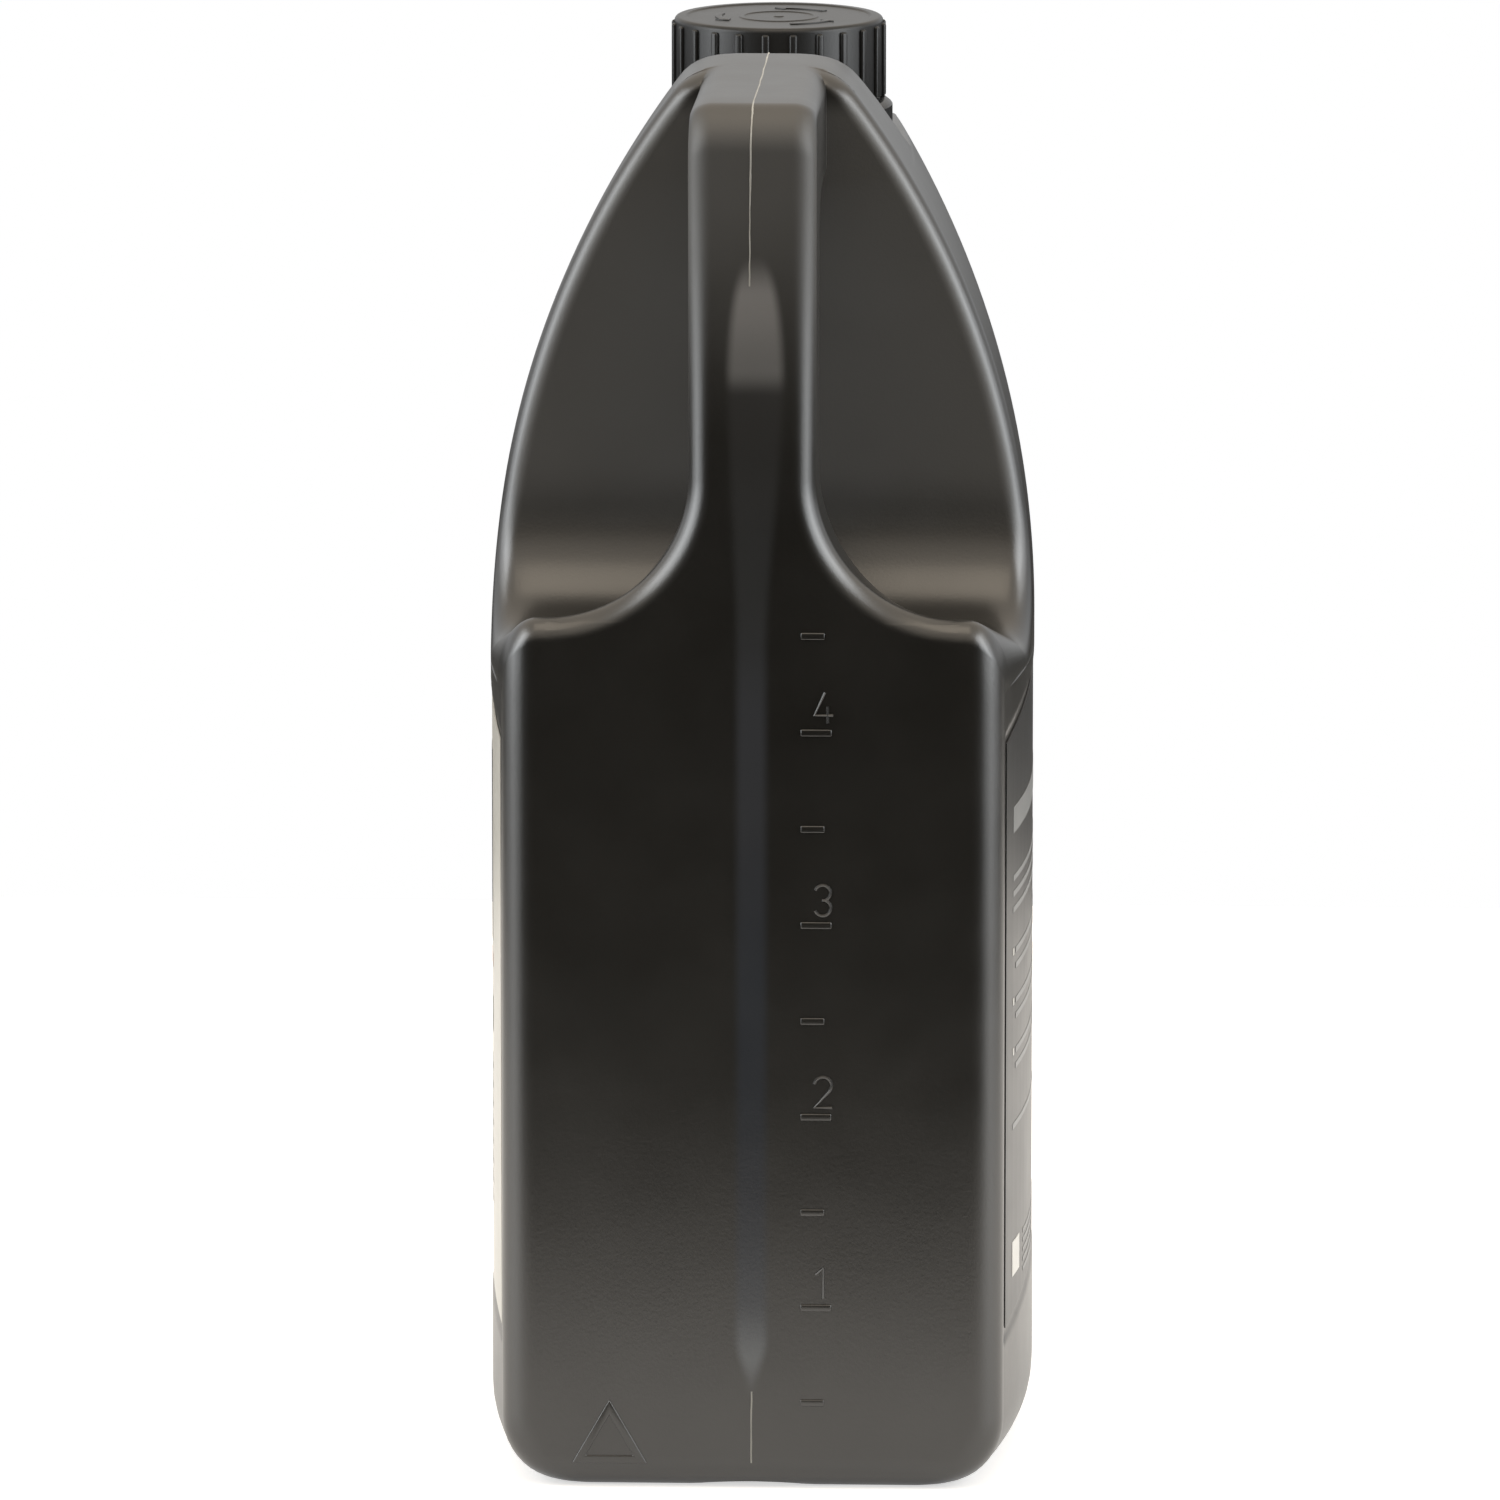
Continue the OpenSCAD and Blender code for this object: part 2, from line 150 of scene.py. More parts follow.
@dataclass(frozen=True)
class PlasticFinish:
    """A moulded plastic with a fine grain and a slow unevenness.

    Attributes:
        name: The material's name.
        colour: Screen colour, six hex digits.
        tint: Screen colour of the faint mottling.
        roughness: Middle roughness.
        grain: Grains in a metre.
        grain_depth: Depth of the grain in metres.
        wave_depth: Depth of the slow unevenness in metres.
        specular: Specular level of the shader.
    """

    name: str
    colour: str
    tint: str
    roughness: float
    grain: float = 1400.0
    grain_depth: float = 0.00002
    wave_depth: float = 0.0
    specular: float = 0.5

    def material(self) -> bpy.types.Material:
        """Build the material.

        Returns:
            The finished material.
        """
        made = bpy.data.materials.new(self.name)
        made.use_nodes = True
        graph = Graph(made.node_tree)
        shader = made.node_tree.nodes["Principled BSDF"]
        shader.inputs["Specular IOR Level"].default_value = self.specular
        place = graph.add("ShaderNodeTexCoord").outputs["Object"]
        self.paint(graph, shader, place)
        return made

    def paint(self, graph: Graph, shader: bpy.types.Node, place: bpy.types.NodeSocket) -> None:
        """Feed colour, roughness and relief to the shader.

        Args:
            graph: The material's nodes.
            shader: Its Principled shader.
            place: Object coordinates.
        """
        self.link(graph, self.base_colour(graph, place), shader.inputs["Base Color"])
        self.link(graph, self.dullness(graph, place), shader.inputs["Roughness"])
        grain = graph.add(
            "ShaderNodeBump",
            {"Height": self.noise(graph, place, self.grain, 2.0), "Distance": self.grain_depth},
        )
        if self.wave_depth:
            wave = graph.add(
                "ShaderNodeBump",
                {"Height": self.noise(graph, place, 22.0, 1.0), "Distance": self.wave_depth},
            )
            self.link(graph, wave.outputs[0], grain.inputs["Normal"])
        self.link(graph, grain.outputs[0], shader.inputs["Normal"])

    def dullness(self, graph: Graph, place: bpy.types.NodeSocket) -> bpy.types.NodeSocket:
        """Return the plastic's roughness with its slow unevenness."""
        cloud = self.noise(graph, place, 60.0, 3.0)
        worn = graph.add(
            "ShaderNodeMapRange",
            {"Value": cloud, "To Min": self.roughness - 0.04, "To Max": self.roughness + 0.04},
        )
        return worn.outputs["Result"]

    def base_colour(self, graph: Graph, place: bpy.types.NodeSocket) -> bpy.types.NodeSocket:
        """Return the plastic's colour with its faint mottling."""
        cloud = self.noise(graph, place, 35.0, 4.0)
        return graph.mix(graph.ramp(cloud, 0.35, 0.7), linear(self.colour), linear(self.tint))

    @staticmethod
    def noise(
        graph: Graph, place: bpy.types.NodeSocket, scale: float, detail: float
    ) -> bpy.types.NodeSocket:
        """Return a noise pattern of that many waves in a metre."""
        links = {"Vector": place, "Scale": scale, "Detail": detail}
        return graph.add("ShaderNodeTexNoise", links).outputs[0]

    @staticmethod
    def link(graph: Graph, source: bpy.types.NodeSocket, target: bpy.types.NodeSocket) -> None:
        """Join two sockets."""
        graph.tree.links.new(source, target)


@dataclass(frozen=True)
class StripedFinish(PlasticFinish):
    """The jug's plastic with the clear strip that shows the fill at the handle end.

    Attributes:
        window_half: Half width of the strip at the fill's surface, in metres.
        strip_half: Half width of the strip lower down.
        shift: How far the strip's upper end stands off the middle.
        strip_low: Height of the strip's lower end.
        strip_high: Height of its round upper end.
        fill: Height of the fill.
        face_y: The strip shows only nearer the handle end than this.
        tones: Heights and the strip's screen colours there, from the top down.
        matt: How much duller the wall behind the handle and the handle's upper post are.
        painted_sheen: Screen colour painted on them, a lighter tone that stands in for the light they catch
            (painted sheen).
        wall_y: Where the wall behind the handle stands.
        wall_edge: How far from the wall its higher roughness and painted sheen end.
        strip_edge: Half width of the strip's soft edges.
        narrowing: Height over which the strip narrows below the fill.
        tail: How much the strip narrows at its lower end.
    """

    matt: float = 0.28
    # painted sheen: a lighter colour that stands in for light on the wall behind the handle and the upper
    # post
    painted_sheen: str = "33312d"
    wall_y: float = -0.032
    wall_edge: float = 0.0015
    strip_edge: float = 0.0014
    narrowing: float = 0.06
    tail: float = 0.0026
    window_half: float = 0.006
    strip_half: float = 0.0032
    shift: float = 0.0009
    strip_low: float = 0.0225
    strip_high: float = 0.2815
    fill: float = 0.2515
    face_y: float = -0.088
    tones: tuple[tuple[float, str], ...] = (
        (0.272, "828283"),
        (0.2555, "6f7071"),
        (0.249, "2e2e2e"),
        (0.2035, "303234"),
        (0.175, "383b41"),
        (0.155, "33363c"),
        (0.113, "262b33"),
        (0.067, "181d26"),
        (0.0445, "1c222b"),
        (0.0286, "52575c"),
    )

    def dull_and_sheen_places(self, graph: Graph, place: bpy.types.NodeSocket) -> bpy.types.NodeSocket:
        """Return 1 on the wall behind the handle and up the handle's post, 0 elsewhere, for roughness and
        painted sheen.
        """
        axes = graph.add("ShaderNodeSeparateXYZ", {0: place}).outputs
        y, z = axes["Y"], axes["Z"]
        behind = graph.ramp(y, self.wall_y - self.wall_edge, self.wall_y - 0.0003)
        before = graph.ramp(y, self.wall_y + self.wall_edge, self.wall_y)
        tall = graph.math("MULTIPLY", graph.ramp(z, 0.2, 0.225), graph.ramp(z, 0.31, 0.302))
        recess = graph.math("MULTIPLY", graph.math("MULTIPLY", behind, before), tall)
        post = graph.math("MULTIPLY", graph.ramp(y, -0.086, -0.092), graph.ramp(z, 0.23, 0.305))
        return graph.math("ADD", recess, post)

    def dullness(self, graph: Graph, place: bpy.types.NodeSocket) -> bpy.types.NodeSocket:
        """Return the roughness, higher in the dull places."""
        duller = graph.math("MULTIPLY", self.dull_and_sheen_places(graph, place), self.matt)
        return graph.math("ADD", super().dullness(graph, place), duller)

    def base_colour(self, graph: Graph, place: bpy.types.NodeSocket) -> bpy.types.NodeSocket:
        """Return the plastic's colour with a painted sheen behind the handle and the strip over it."""
        plain = super().base_colour(graph, place)
        # paint the lighter sheen on the wall behind the handle and the upper post, in place of the light
        # they catch
        plain = graph.mix(self.dull_and_sheen_places(graph, place), plain, linear(self.painted_sheen))
        axes = graph.add("ShaderNodeSeparateXYZ", {0: place}).outputs
        x, y, z = axes["X"], axes["Y"], axes["Z"]
        rise = graph.ramp(z, self.fill, self.strip_high, "LINEAR")
        dome = graph.math("SQRT", graph.math("SUBTRACT", 1.0, graph.math("MULTIPLY", rise, rise)))
        slim = graph.math(
            "MULTIPLY",
            graph.ramp(z, self.fill, self.fill - self.narrowing),
            self.window_half - self.strip_half,
        )
        low_end = graph.ramp(z, self.strip_low + 0.012, self.strip_low)
        tail = graph.math("MULTIPLY", low_end, self.tail)
        half = graph.math("SUBTRACT", graph.math("MULTIPLY", dome, self.window_half), slim)
        half = graph.math("SUBTRACT", half, tail)
        above = graph.ramp(z, self.fill - self.narrowing, self.fill)
        middle = graph.math("MULTIPLY", above, self.shift)
        beside = graph.math("ABSOLUTE", graph.math("SUBTRACT", x, middle))
        past = graph.math("SUBTRACT", beside, half)
        inside = graph.ramp(past, self.strip_edge, -self.strip_edge)
        ends = graph.math(
            "MULTIPLY",
            graph.ramp(z, self.strip_low - 0.002, self.strip_low + 0.008),
            graph.ramp(z, self.strip_high, self.strip_high - 0.01),
        )
        near = graph.ramp(y, self.face_y, self.face_y - 0.003)
        mask = graph.math("MULTIPLY", graph.math("MULTIPLY", inside, ends), near)
        tone = linear(self.tones[0][1])
        for (high, _), (low, code) in zip(self.tones, self.tones[1:]):
            tone = graph.mix(graph.ramp(z, high, low), tone, linear(code))
        return graph.mix(mask, plain, tone)


@dataclass(frozen=True)
class FluidFinish(PlasticFinish):
    """A deep red oil with a wet surface."""

    def paint(self, graph: Graph, shader: bpy.types.Node, place: bpy.types.NodeSocket) -> None:
        """Feed a clouded red to a smooth shader."""
        self.link(graph, self.base_colour(graph, place), shader.inputs["Base Color"])
        shader.inputs["Roughness"].default_value = self.roughness


BODY_PLASTIC = StripedFinish(
    "satin_body_plastic", "161512", "1a1916", 0.31, wave_depth=0.0002, specular=1.0
)
FLASH_PLASTIC = PlasticFinish("trimmed_flash_plastic", "b9b9b4", "94948f", 0.5)
CAP_PLASTIC = PlasticFinish("cap_plastic", "212223", "262728", 0.33, grain=1800.0, specular=0.35)
LINER_FOAM = PlasticFinish("liner_foam", "d9d9d0", "c9c9be", 0.8, grain=2600.0, grain_depth=0.00006)
PALE_FILM = PlasticFinish("pale_label_film", "bfbeb7", "c6c5bf", 0.34, grain=900.0, grain_depth=0.000006)
DARK_FILM = PlasticFinish("dark_label_film", "2b2c2d", "2e2f30", 0.34, grain=900.0, grain_depth=0.000006)
PALE_INK = PlasticFinish("pale_ink", "dadad6", "cfcfca", 0.4, grain_depth=0.000004)
GREY_INK = PlasticFinish("grey_ink", "7d7f80", "87898a", 0.4, grain_depth=0.000004)
DARK_INK = PlasticFinish("dark_ink", "303336", "373a3d", 0.36, grain_depth=0.000004)
RED_INK = PlasticFinish("red_ink", "a3262c", "9a2228", 0.36, grain_depth=0.000004)
RED_OIL = FluidFinish("red_oil", "5e1016", "6a1319", 0.12)


def mesh_object(name: str, verts: np.ndarray, faces: list[tuple[int, ...]]) -> bpy.types.Object:
    """Make a linked mesh object at the origin.

    Args:
        name: The object's name.
        verts: Points in millimetres.
        faces: Faces as tuples of point numbers.

    Returns:
        The new object.
    """
    mesh = bpy.data.meshes.new(name)
    mesh.from_pydata((np.asarray(verts) * MM).tolist(), [], faces)
    mesh.validate()
    made = bpy.data.objects.new(name, mesh)
    bpy.context.scene.collection.objects.link(made)
    return made


def loft(name: str, rings: list[np.ndarray]) -> bpy.types.Object:
    """Close a skin over rings that have equal numbers of points.

    Args:
        name: The object's name.
        rings: Rings of points in millimetres, in order.

    Returns:
        The closed mesh object.
    """
    n = len(rings[0])
    last = len(rings) - 1
    faces = [
        (i * n + k, i * n + (k + 1) % n, (i + 1) * n + (k + 1) % n, (i + 1) * n + k)
        for i in range(last)
        for k in range(n)
    ]
    faces.append(tuple(range(n - 1, -1, -1)))
    faces.append(tuple(range(last * n, last * n + n)))
    return mesh_object(name, np.concatenate(rings), faces)


def lathe(
    name: str, profile: list[tuple[float, float]], steps: int, centre_y: float
) -> bpy.types.Object:
    """Turn a closed profile round an upright axis.

    Args:
        name: The object's name.
        profile: Radius and height pairs in millimetres, in order round the section.
        steps: Number of facets round the axis.
        centre_y: Where the axis stands.

    Returns:
        The turned mesh object.
    """
    n = len(profile)
    verts = [
        (r * math.cos(a), centre_y + r * math.sin(a), z)
        for a in (2 * math.pi * k / steps for k in range(steps))
        for r, z in profile
    ]
    faces = [
        (i * n + k, i * n + (k + 1) % n, ((i + 1) % steps) * n + (k + 1) % n, ((i + 1) % steps) * n + k)
        for i in range(steps)
        for k in range(n)
    ]
    made = mesh_object(name, np.array(verts), faces)
    tidy_mesh(made)
    return made


def tidy_mesh(piece: bpy.types.Object) -> None:
    """Merge doubled points, drop collapsed faces and turn all faces outwards."""
    work = bmesh.new()
    work.from_mesh(piece.data)
    bmesh.ops.remove_doubles(work, verts=work.verts, dist=1e-7)
    bmesh.ops.dissolve_degenerate(work, edges=work.edges, dist=1e-8)
    bmesh.ops.recalc_face_normals(work, faces=work.faces)
    work.to_mesh(piece.data)
    work.free()


def block(
    name: str, xs: tuple[float, float], ys: tuple[float, float], zs: tuple[float, float]
) -> bpy.types.Object:
    """Make a block between pairs of limits.

    Args:
        name: The object's name.
        xs: Its limits along x, in millimetres.
        ys: Its limits along y.
        zs: Its limits along z.

    Returns:
        The block.
    """
    made = mesh_object(name, np.array([(x, y, z) for x in xs for y in ys for z in zs]), BLOCK_FACES)
    tidy_mesh(made)
    return made


def settle(piece: bpy.types.Object) -> bpy.types.Object:
    """Turn a piece with live modifiers into a plain mesh.

    Args:
        piece: The object to settle.

    Returns:
        The same object, with the evaluated mesh and no modifiers.
    """
    graph = bpy.context.evaluated_depsgraph_get()
    result = bpy.data.meshes.new_from_object(piece.evaluated_get(graph), depsgraph=graph)
    piece.modifiers.clear()
    piece.data = result
    result.name = piece.name
    return piece


def combine(base: bpy.types.Object, tool: bpy.types.Object, operation: str) -> None:
    """Join or cut a closed mesh with another, which is used up."""
    change = base.modifiers.new(operation.lower(), "BOOLEAN")
    change.operation = operation
    change.object = tool
    change.solver = "MANIFOLD"
    settle(base)
    bpy.data.objects.remove(tool)


def shade(piece: bpy.types.Object, angle: float = 35.0) -> None:
    """Shade a piece smoothly, with edges over that many degrees kept sharp."""
    piece.data.shade_smooth()
    piece.data.set_sharp_from_angle(angle=math.radians(angle))


def soften(piece: bpy.types.Object, width: float, segments: int = 2) -> None:
    """Round a piece's sharp edges by that many millimetres."""
    bevel = piece.modifiers.new("edge", "BEVEL")
    bevel.width = width * MM
    bevel.segments = segments
    bevel.limit_method = "ANGLE"
    bevel.angle_limit = math.radians(40)
    bevel.use_clamp_overlap = True
    settle(piece)


def dress(
    piece: bpy.types.Object,
    material: bpy.types.Material,
    body: Body,
    replaced: tuple[str, ...] = (),
) -> bpy.types.Object:
    """Give a finished piece its material and body, and hide the CAD nodes that it stands for.

    Args:
        piece: The finished mesh object.
        material: Its material.
        body: The body it rides on.
        replaced: CAD nodes that it stands for.

    Returns:
        The same object.
    """
    piece.data.materials.clear()
    piece.data.materials.append(material)
    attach(piece, body.value)
    if replaced:
        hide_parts(*replaced)
    LOG.info("%s: %d faces on %s", piece.name, len(piece.data.polygons), body.value)
    return piece


class NodeTool:
    """A Geometry Nodes tree with named inputs, used on pieces and then settled."""

    def __init__(self, name: str, inputs: dict[str, str]) -> None:
        """Start a tree.

        Args:
            name: The tree's name.
            inputs: Input names with their socket types.
        """
        self.tree = bpy.data.node_groups.new(name, "GeometryNodeTree")
        face = self.tree.interface
        face.new_socket("Geometry", in_out="INPUT", socket_type="NodeSocketGeometry")
        self.keys = {
            label: face.new_socket(label, in_out="INPUT", socket_type=kind).identifier
            for label, kind in {**inputs, "Finish": "NodeSocketMaterial"}.items()
        }
        face.new_socket("Geometry", in_out="OUTPUT", socket_type="NodeSocketGeometry")
        self.graph = Graph(self.tree)
        self.given = self.graph.add("NodeGroupInput").outputs

    def close(self, geometry: bpy.types.NodeSocket) -> None:
        """End the tree in real geometry with the finish on it."""
        real = self.graph.add("GeometryNodeRealizeInstances", {"Geometry": geometry})
        done = self.graph.add(
            "GeometryNodeSetMaterial",
            {"Geometry": real.outputs[0], "Material": self.given["Finish"]},
        )
        end = self.graph.add("NodeGroupOutput")
        self.tree.links.new(done.outputs[0], end.inputs[0])

    def apply(
        self, piece: bpy.types.Object, finish: bpy.types.Material, **values: object
    ) -> bpy.types.Object:
        """Run the tree on a piece and keep the result as a plain mesh.

        Args:
            piece: The object whose mesh goes in.
            finish: The material of the result.
            values: Values for the named inputs, with _ for spaces.

        Returns:
            The same object with the new mesh.
        """
        change = piece.modifiers.new(self.tree.name, "NODES")
        change.node_group = self.tree
        for label, value in {**values, "Finish": finish}.items():
            change[self.keys[label.replace("_", " ")]] = value
        return settle(piece)


def ring_tool() -> NodeTool:
    """Return a tree that repeats a piece round an upright axis."""
    tool = NodeTool(
        "copies_round_axis",
        {"Count": "NodeSocketInt", "Phase": "NodeSocketFloat", "Axis": "NodeSocketVector"},
    )
    g, given = tool.graph, tool.given
    line = g.add("GeometryNodeMeshLine", {"Count": given["Count"], "Offset": (0, 0, 0)})
    step = g.math("DIVIDE", 2 * math.pi, given["Count"])
    index = g.add("GeometryNodeInputIndex").outputs[0]
    turn = g.math("ADD", given["Phase"], g.math("MULTIPLY", index, step))
    angle = g.add("ShaderNodeCombineXYZ", {"Z": turn}).outputs[0]
    copies = g.add(
        "GeometryNodeInstanceOnPoints",
        {"Points": line.outputs[0], "Instance": given["Geometry"], "Rotation": angle},
    )
    moved = g.add("GeometryNodeTransform", {"Geometry": copies.outputs[0], "Translation": given["Axis"]})
    tool.close(moved.outputs[0])
    return tool


def ladder_tool() -> NodeTool:
    """Return a tree that repeats a bar up a scale, with every second one longer."""
    tool = NodeTool(
        "scale_ladder",
        {
            "Count": "NodeSocketInt",
            "Start": "NodeSocketVector",
            "Pitch": "NodeSocketFloat",
            "Long": "NodeSocketFloat",
        },
    )
    g, given = tool.graph, tool.given
    rise = g.add("ShaderNodeCombineXYZ", {"Z": given["Pitch"]}).outputs[0]
    line = g.add(
        "GeometryNodeMeshLine",
        {"Count": given["Count"], "Start Location": given["Start"], "Offset": rise},
    )
    index = g.add("GeometryNodeInputIndex").outputs[0]
    odd = g.math("MODULO", index, 2.0)
    extra = g.math("MULTIPLY", odd, g.math("SUBTRACT", given["Long"], 1.0))
    length = g.add("ShaderNodeCombineXYZ", {"X": g.math("ADD", 1.0, extra), "Y": 1.0, "Z": 1.0})
    copies = g.add(
        "GeometryNodeInstanceOnPoints",
        {"Points": line.outputs[0], "Instance": given["Geometry"], "Scale": length.outputs[0]},
    )
    tool.close(copies.outputs[0])
    return tool


def helix_tool() -> NodeTool:
    """Return a tree that sweeps a profile up a right-handed screw line."""
    tool = NodeTool(
        "screw_thread",
        {
            "Turns": "NodeSocketFloat",
            "Radius": "NodeSocketFloat",
            "Rise": "NodeSocketFloat",
            "Thick": "NodeSocketFloat",
            "Base": "NodeSocketVector",
        },
    )
    g, given = tool.graph, tool.given
    spiral = g.add(
        "GeometryNodeCurveSpiral",
        {
            "Resolution": 72,
            "Rotations": given["Turns"],
            "Start Radius": given["Radius"],
            "End Radius": given["Radius"],
            "Height": given["Rise"],
            "Reverse": True,
        },
    )
    round_profile = g.add("GeometryNodeCurvePrimitiveCircle", {"Resolution": 10, "Radius": given["Thick"]})
    sweep = g.add(
        "GeometryNodeCurveToMesh",
        {"Curve": spiral.outputs[0], "Profile Curve": round_profile.outputs[0], "Fill Caps": True},
    )
    moved = g.add("GeometryNodeTransform", {"Geometry": sweep.outputs[0], "Translation": given["Base"]})
    tool.close(moved.outputs[0])
    return tool


def bead_tool() -> NodeTool:
    """Return a tree that lays a thin bead of uneven thickness along a line of edges."""
    tool = NodeTool("trimmed_bead", {"Thick": "NodeSocketFloat", "Uneven": "NodeSocketFloat"})
    g, given = tool.graph, tool.given
    curve = g.add("GeometryNodeMeshToCurve", {"Mesh": given["Geometry"]})
    place = g.add("GeometryNodeInputPosition").outputs[0]
    noise = g.add("ShaderNodeTexNoise", {"Vector": place, "Scale": 160.0, "Detail": 2.0}).outputs[0]
    change = g.math("MULTIPLY", g.math("SUBTRACT", noise, 0.5), given["Uneven"])
    scale = g.math("ADD", 1.0, change)
    sized = g.add("GeometryNodeSetCurveRadius", {"Curve": curve.outputs[0], "Radius": scale})
    profile = g.add("GeometryNodeCurvePrimitiveCircle", {"Resolution": 6, "Radius": given["Thick"]})
    sweep = g.add(
        "GeometryNodeCurveToMesh",
        {
            "Curve": sized.outputs[0],
            "Profile Curve": profile.outputs[0],
            "Scale": scale,
            "Fill Caps": True,
        },
    )
    tool.close(sweep.outputs[0])
    return tool


def print_tool() -> NodeTool:
    """Return a tree that sets rows of bars of uneven length on a curved film."""
    tool = NodeTool(
        "printed_rows",
        {
            "Rows": "NodeSocketInt",
            "Pitch": "NodeSocketFloat",
            "Start": "NodeSocketVector",
            "Shortest": "NodeSocketFloat",
            "Seed": "NodeSocketInt",
            "Film": "NodeSocketFloat",
            "Axis": "NodeSocketFloat",
            "Ahead": "NodeSocketFloat",
            "Behind": "NodeSocketFloat",
            "Sign": "NodeSocketFloat",
        },
    )
    g, given = tool.graph, tool.given
    down = g.add("ShaderNodeCombineXYZ", {"Z": g.math("MULTIPLY", given["Pitch"], -1.0)}).outputs[0]
    line = g.add(
        "GeometryNodeMeshLine",
        {"Count": given["Rows"], "Start Location": given["Start"], "Offset": down},
    )
    length = g.add("FunctionNodeRandomValue", {"Seed": given["Seed"]}, data_type="FLOAT")
    g.tree.links.new(given["Shortest"], length.inputs[2])
    length.inputs[3].default_value = 1.0
    scale = g.add("ShaderNodeCombineXYZ", {"X": 1.0, "Y": length.outputs[1], "Z": 1.0}).outputs[0]
    rows = g.add(
        "GeometryNodeInstanceOnPoints",
        {"Points": line.outputs[0], "Instance": given["Geometry"], "Scale": scale},
    )
    real = g.add("GeometryNodeRealizeInstances", {"Geometry": rows.outputs[0]})
    place = g.add("GeometryNodeInputPosition").outputs[0]
    axes = g.add("ShaderNodeSeparateXYZ", {0: place}).outputs
    along = g.math("SUBTRACT", axes["Y"], given["Axis"])
    ahead = g.math("LESS_THAN", along, 0.0)
    change = g.math("MULTIPLY", ahead, g.math("SUBTRACT", given["Ahead"], given["Behind"]))
    radius = g.math("ADD", given["Behind"], change)
    sag = g.math("DIVIDE", g.math("MULTIPLY", along, along), g.math("MULTIPLY", radius, 2.0))
    out = g.math("SUBTRACT", g.math("ADD", given["Film"], axes["X"]), sag)
    bent = g.add(
        "ShaderNodeCombineXYZ",
        {"X": g.math("MULTIPLY", out, given["Sign"]), "Y": axes["Y"], "Z": axes["Z"]},
    )
    set_place = g.add(
        "GeometryNodeSetPosition", {"Geometry": real.outputs[0], "Position": bent.outputs[0]}
    )
    tool.close(set_place.outputs[0])
    return tool


@dataclass
class Section:
    """One level section of the jug.

    Attributes:
        z: Height.
        front: Distance of its front from the handle end.
        back: Distance of its back from the handle end.
        r_front: Corner radius at the front.
        r_back: Corner radius at the back.
        inset: Inset of the sides.
        lift: How far the middle of the front stands above that height.
        panel: Whether the label panels cross this section.
    """

    z: float
    front: float
    back: float
    r_front: float
    r_back: float
    inset: float = 0.0
    lift: float = 0.0
    panel: bool = False


@dataclass
class GripRow:
    """One section of the handle.

    Attributes:
        outer: Distance from the handle end and height of its outer edge.
        inner: The same of its inner edge.
        half: Half width.
        r_outer: Radius of the outer corners.
        r_inner: Radius of the inner corners.
        below: How far the outer edge lies below the centres of the foot's flares, 0 above the foot.
    """

    outer: np.ndarray
    inner: np.ndarray
    half: float
    r_outer: float
    r_inner: float
    below: float = 0.0


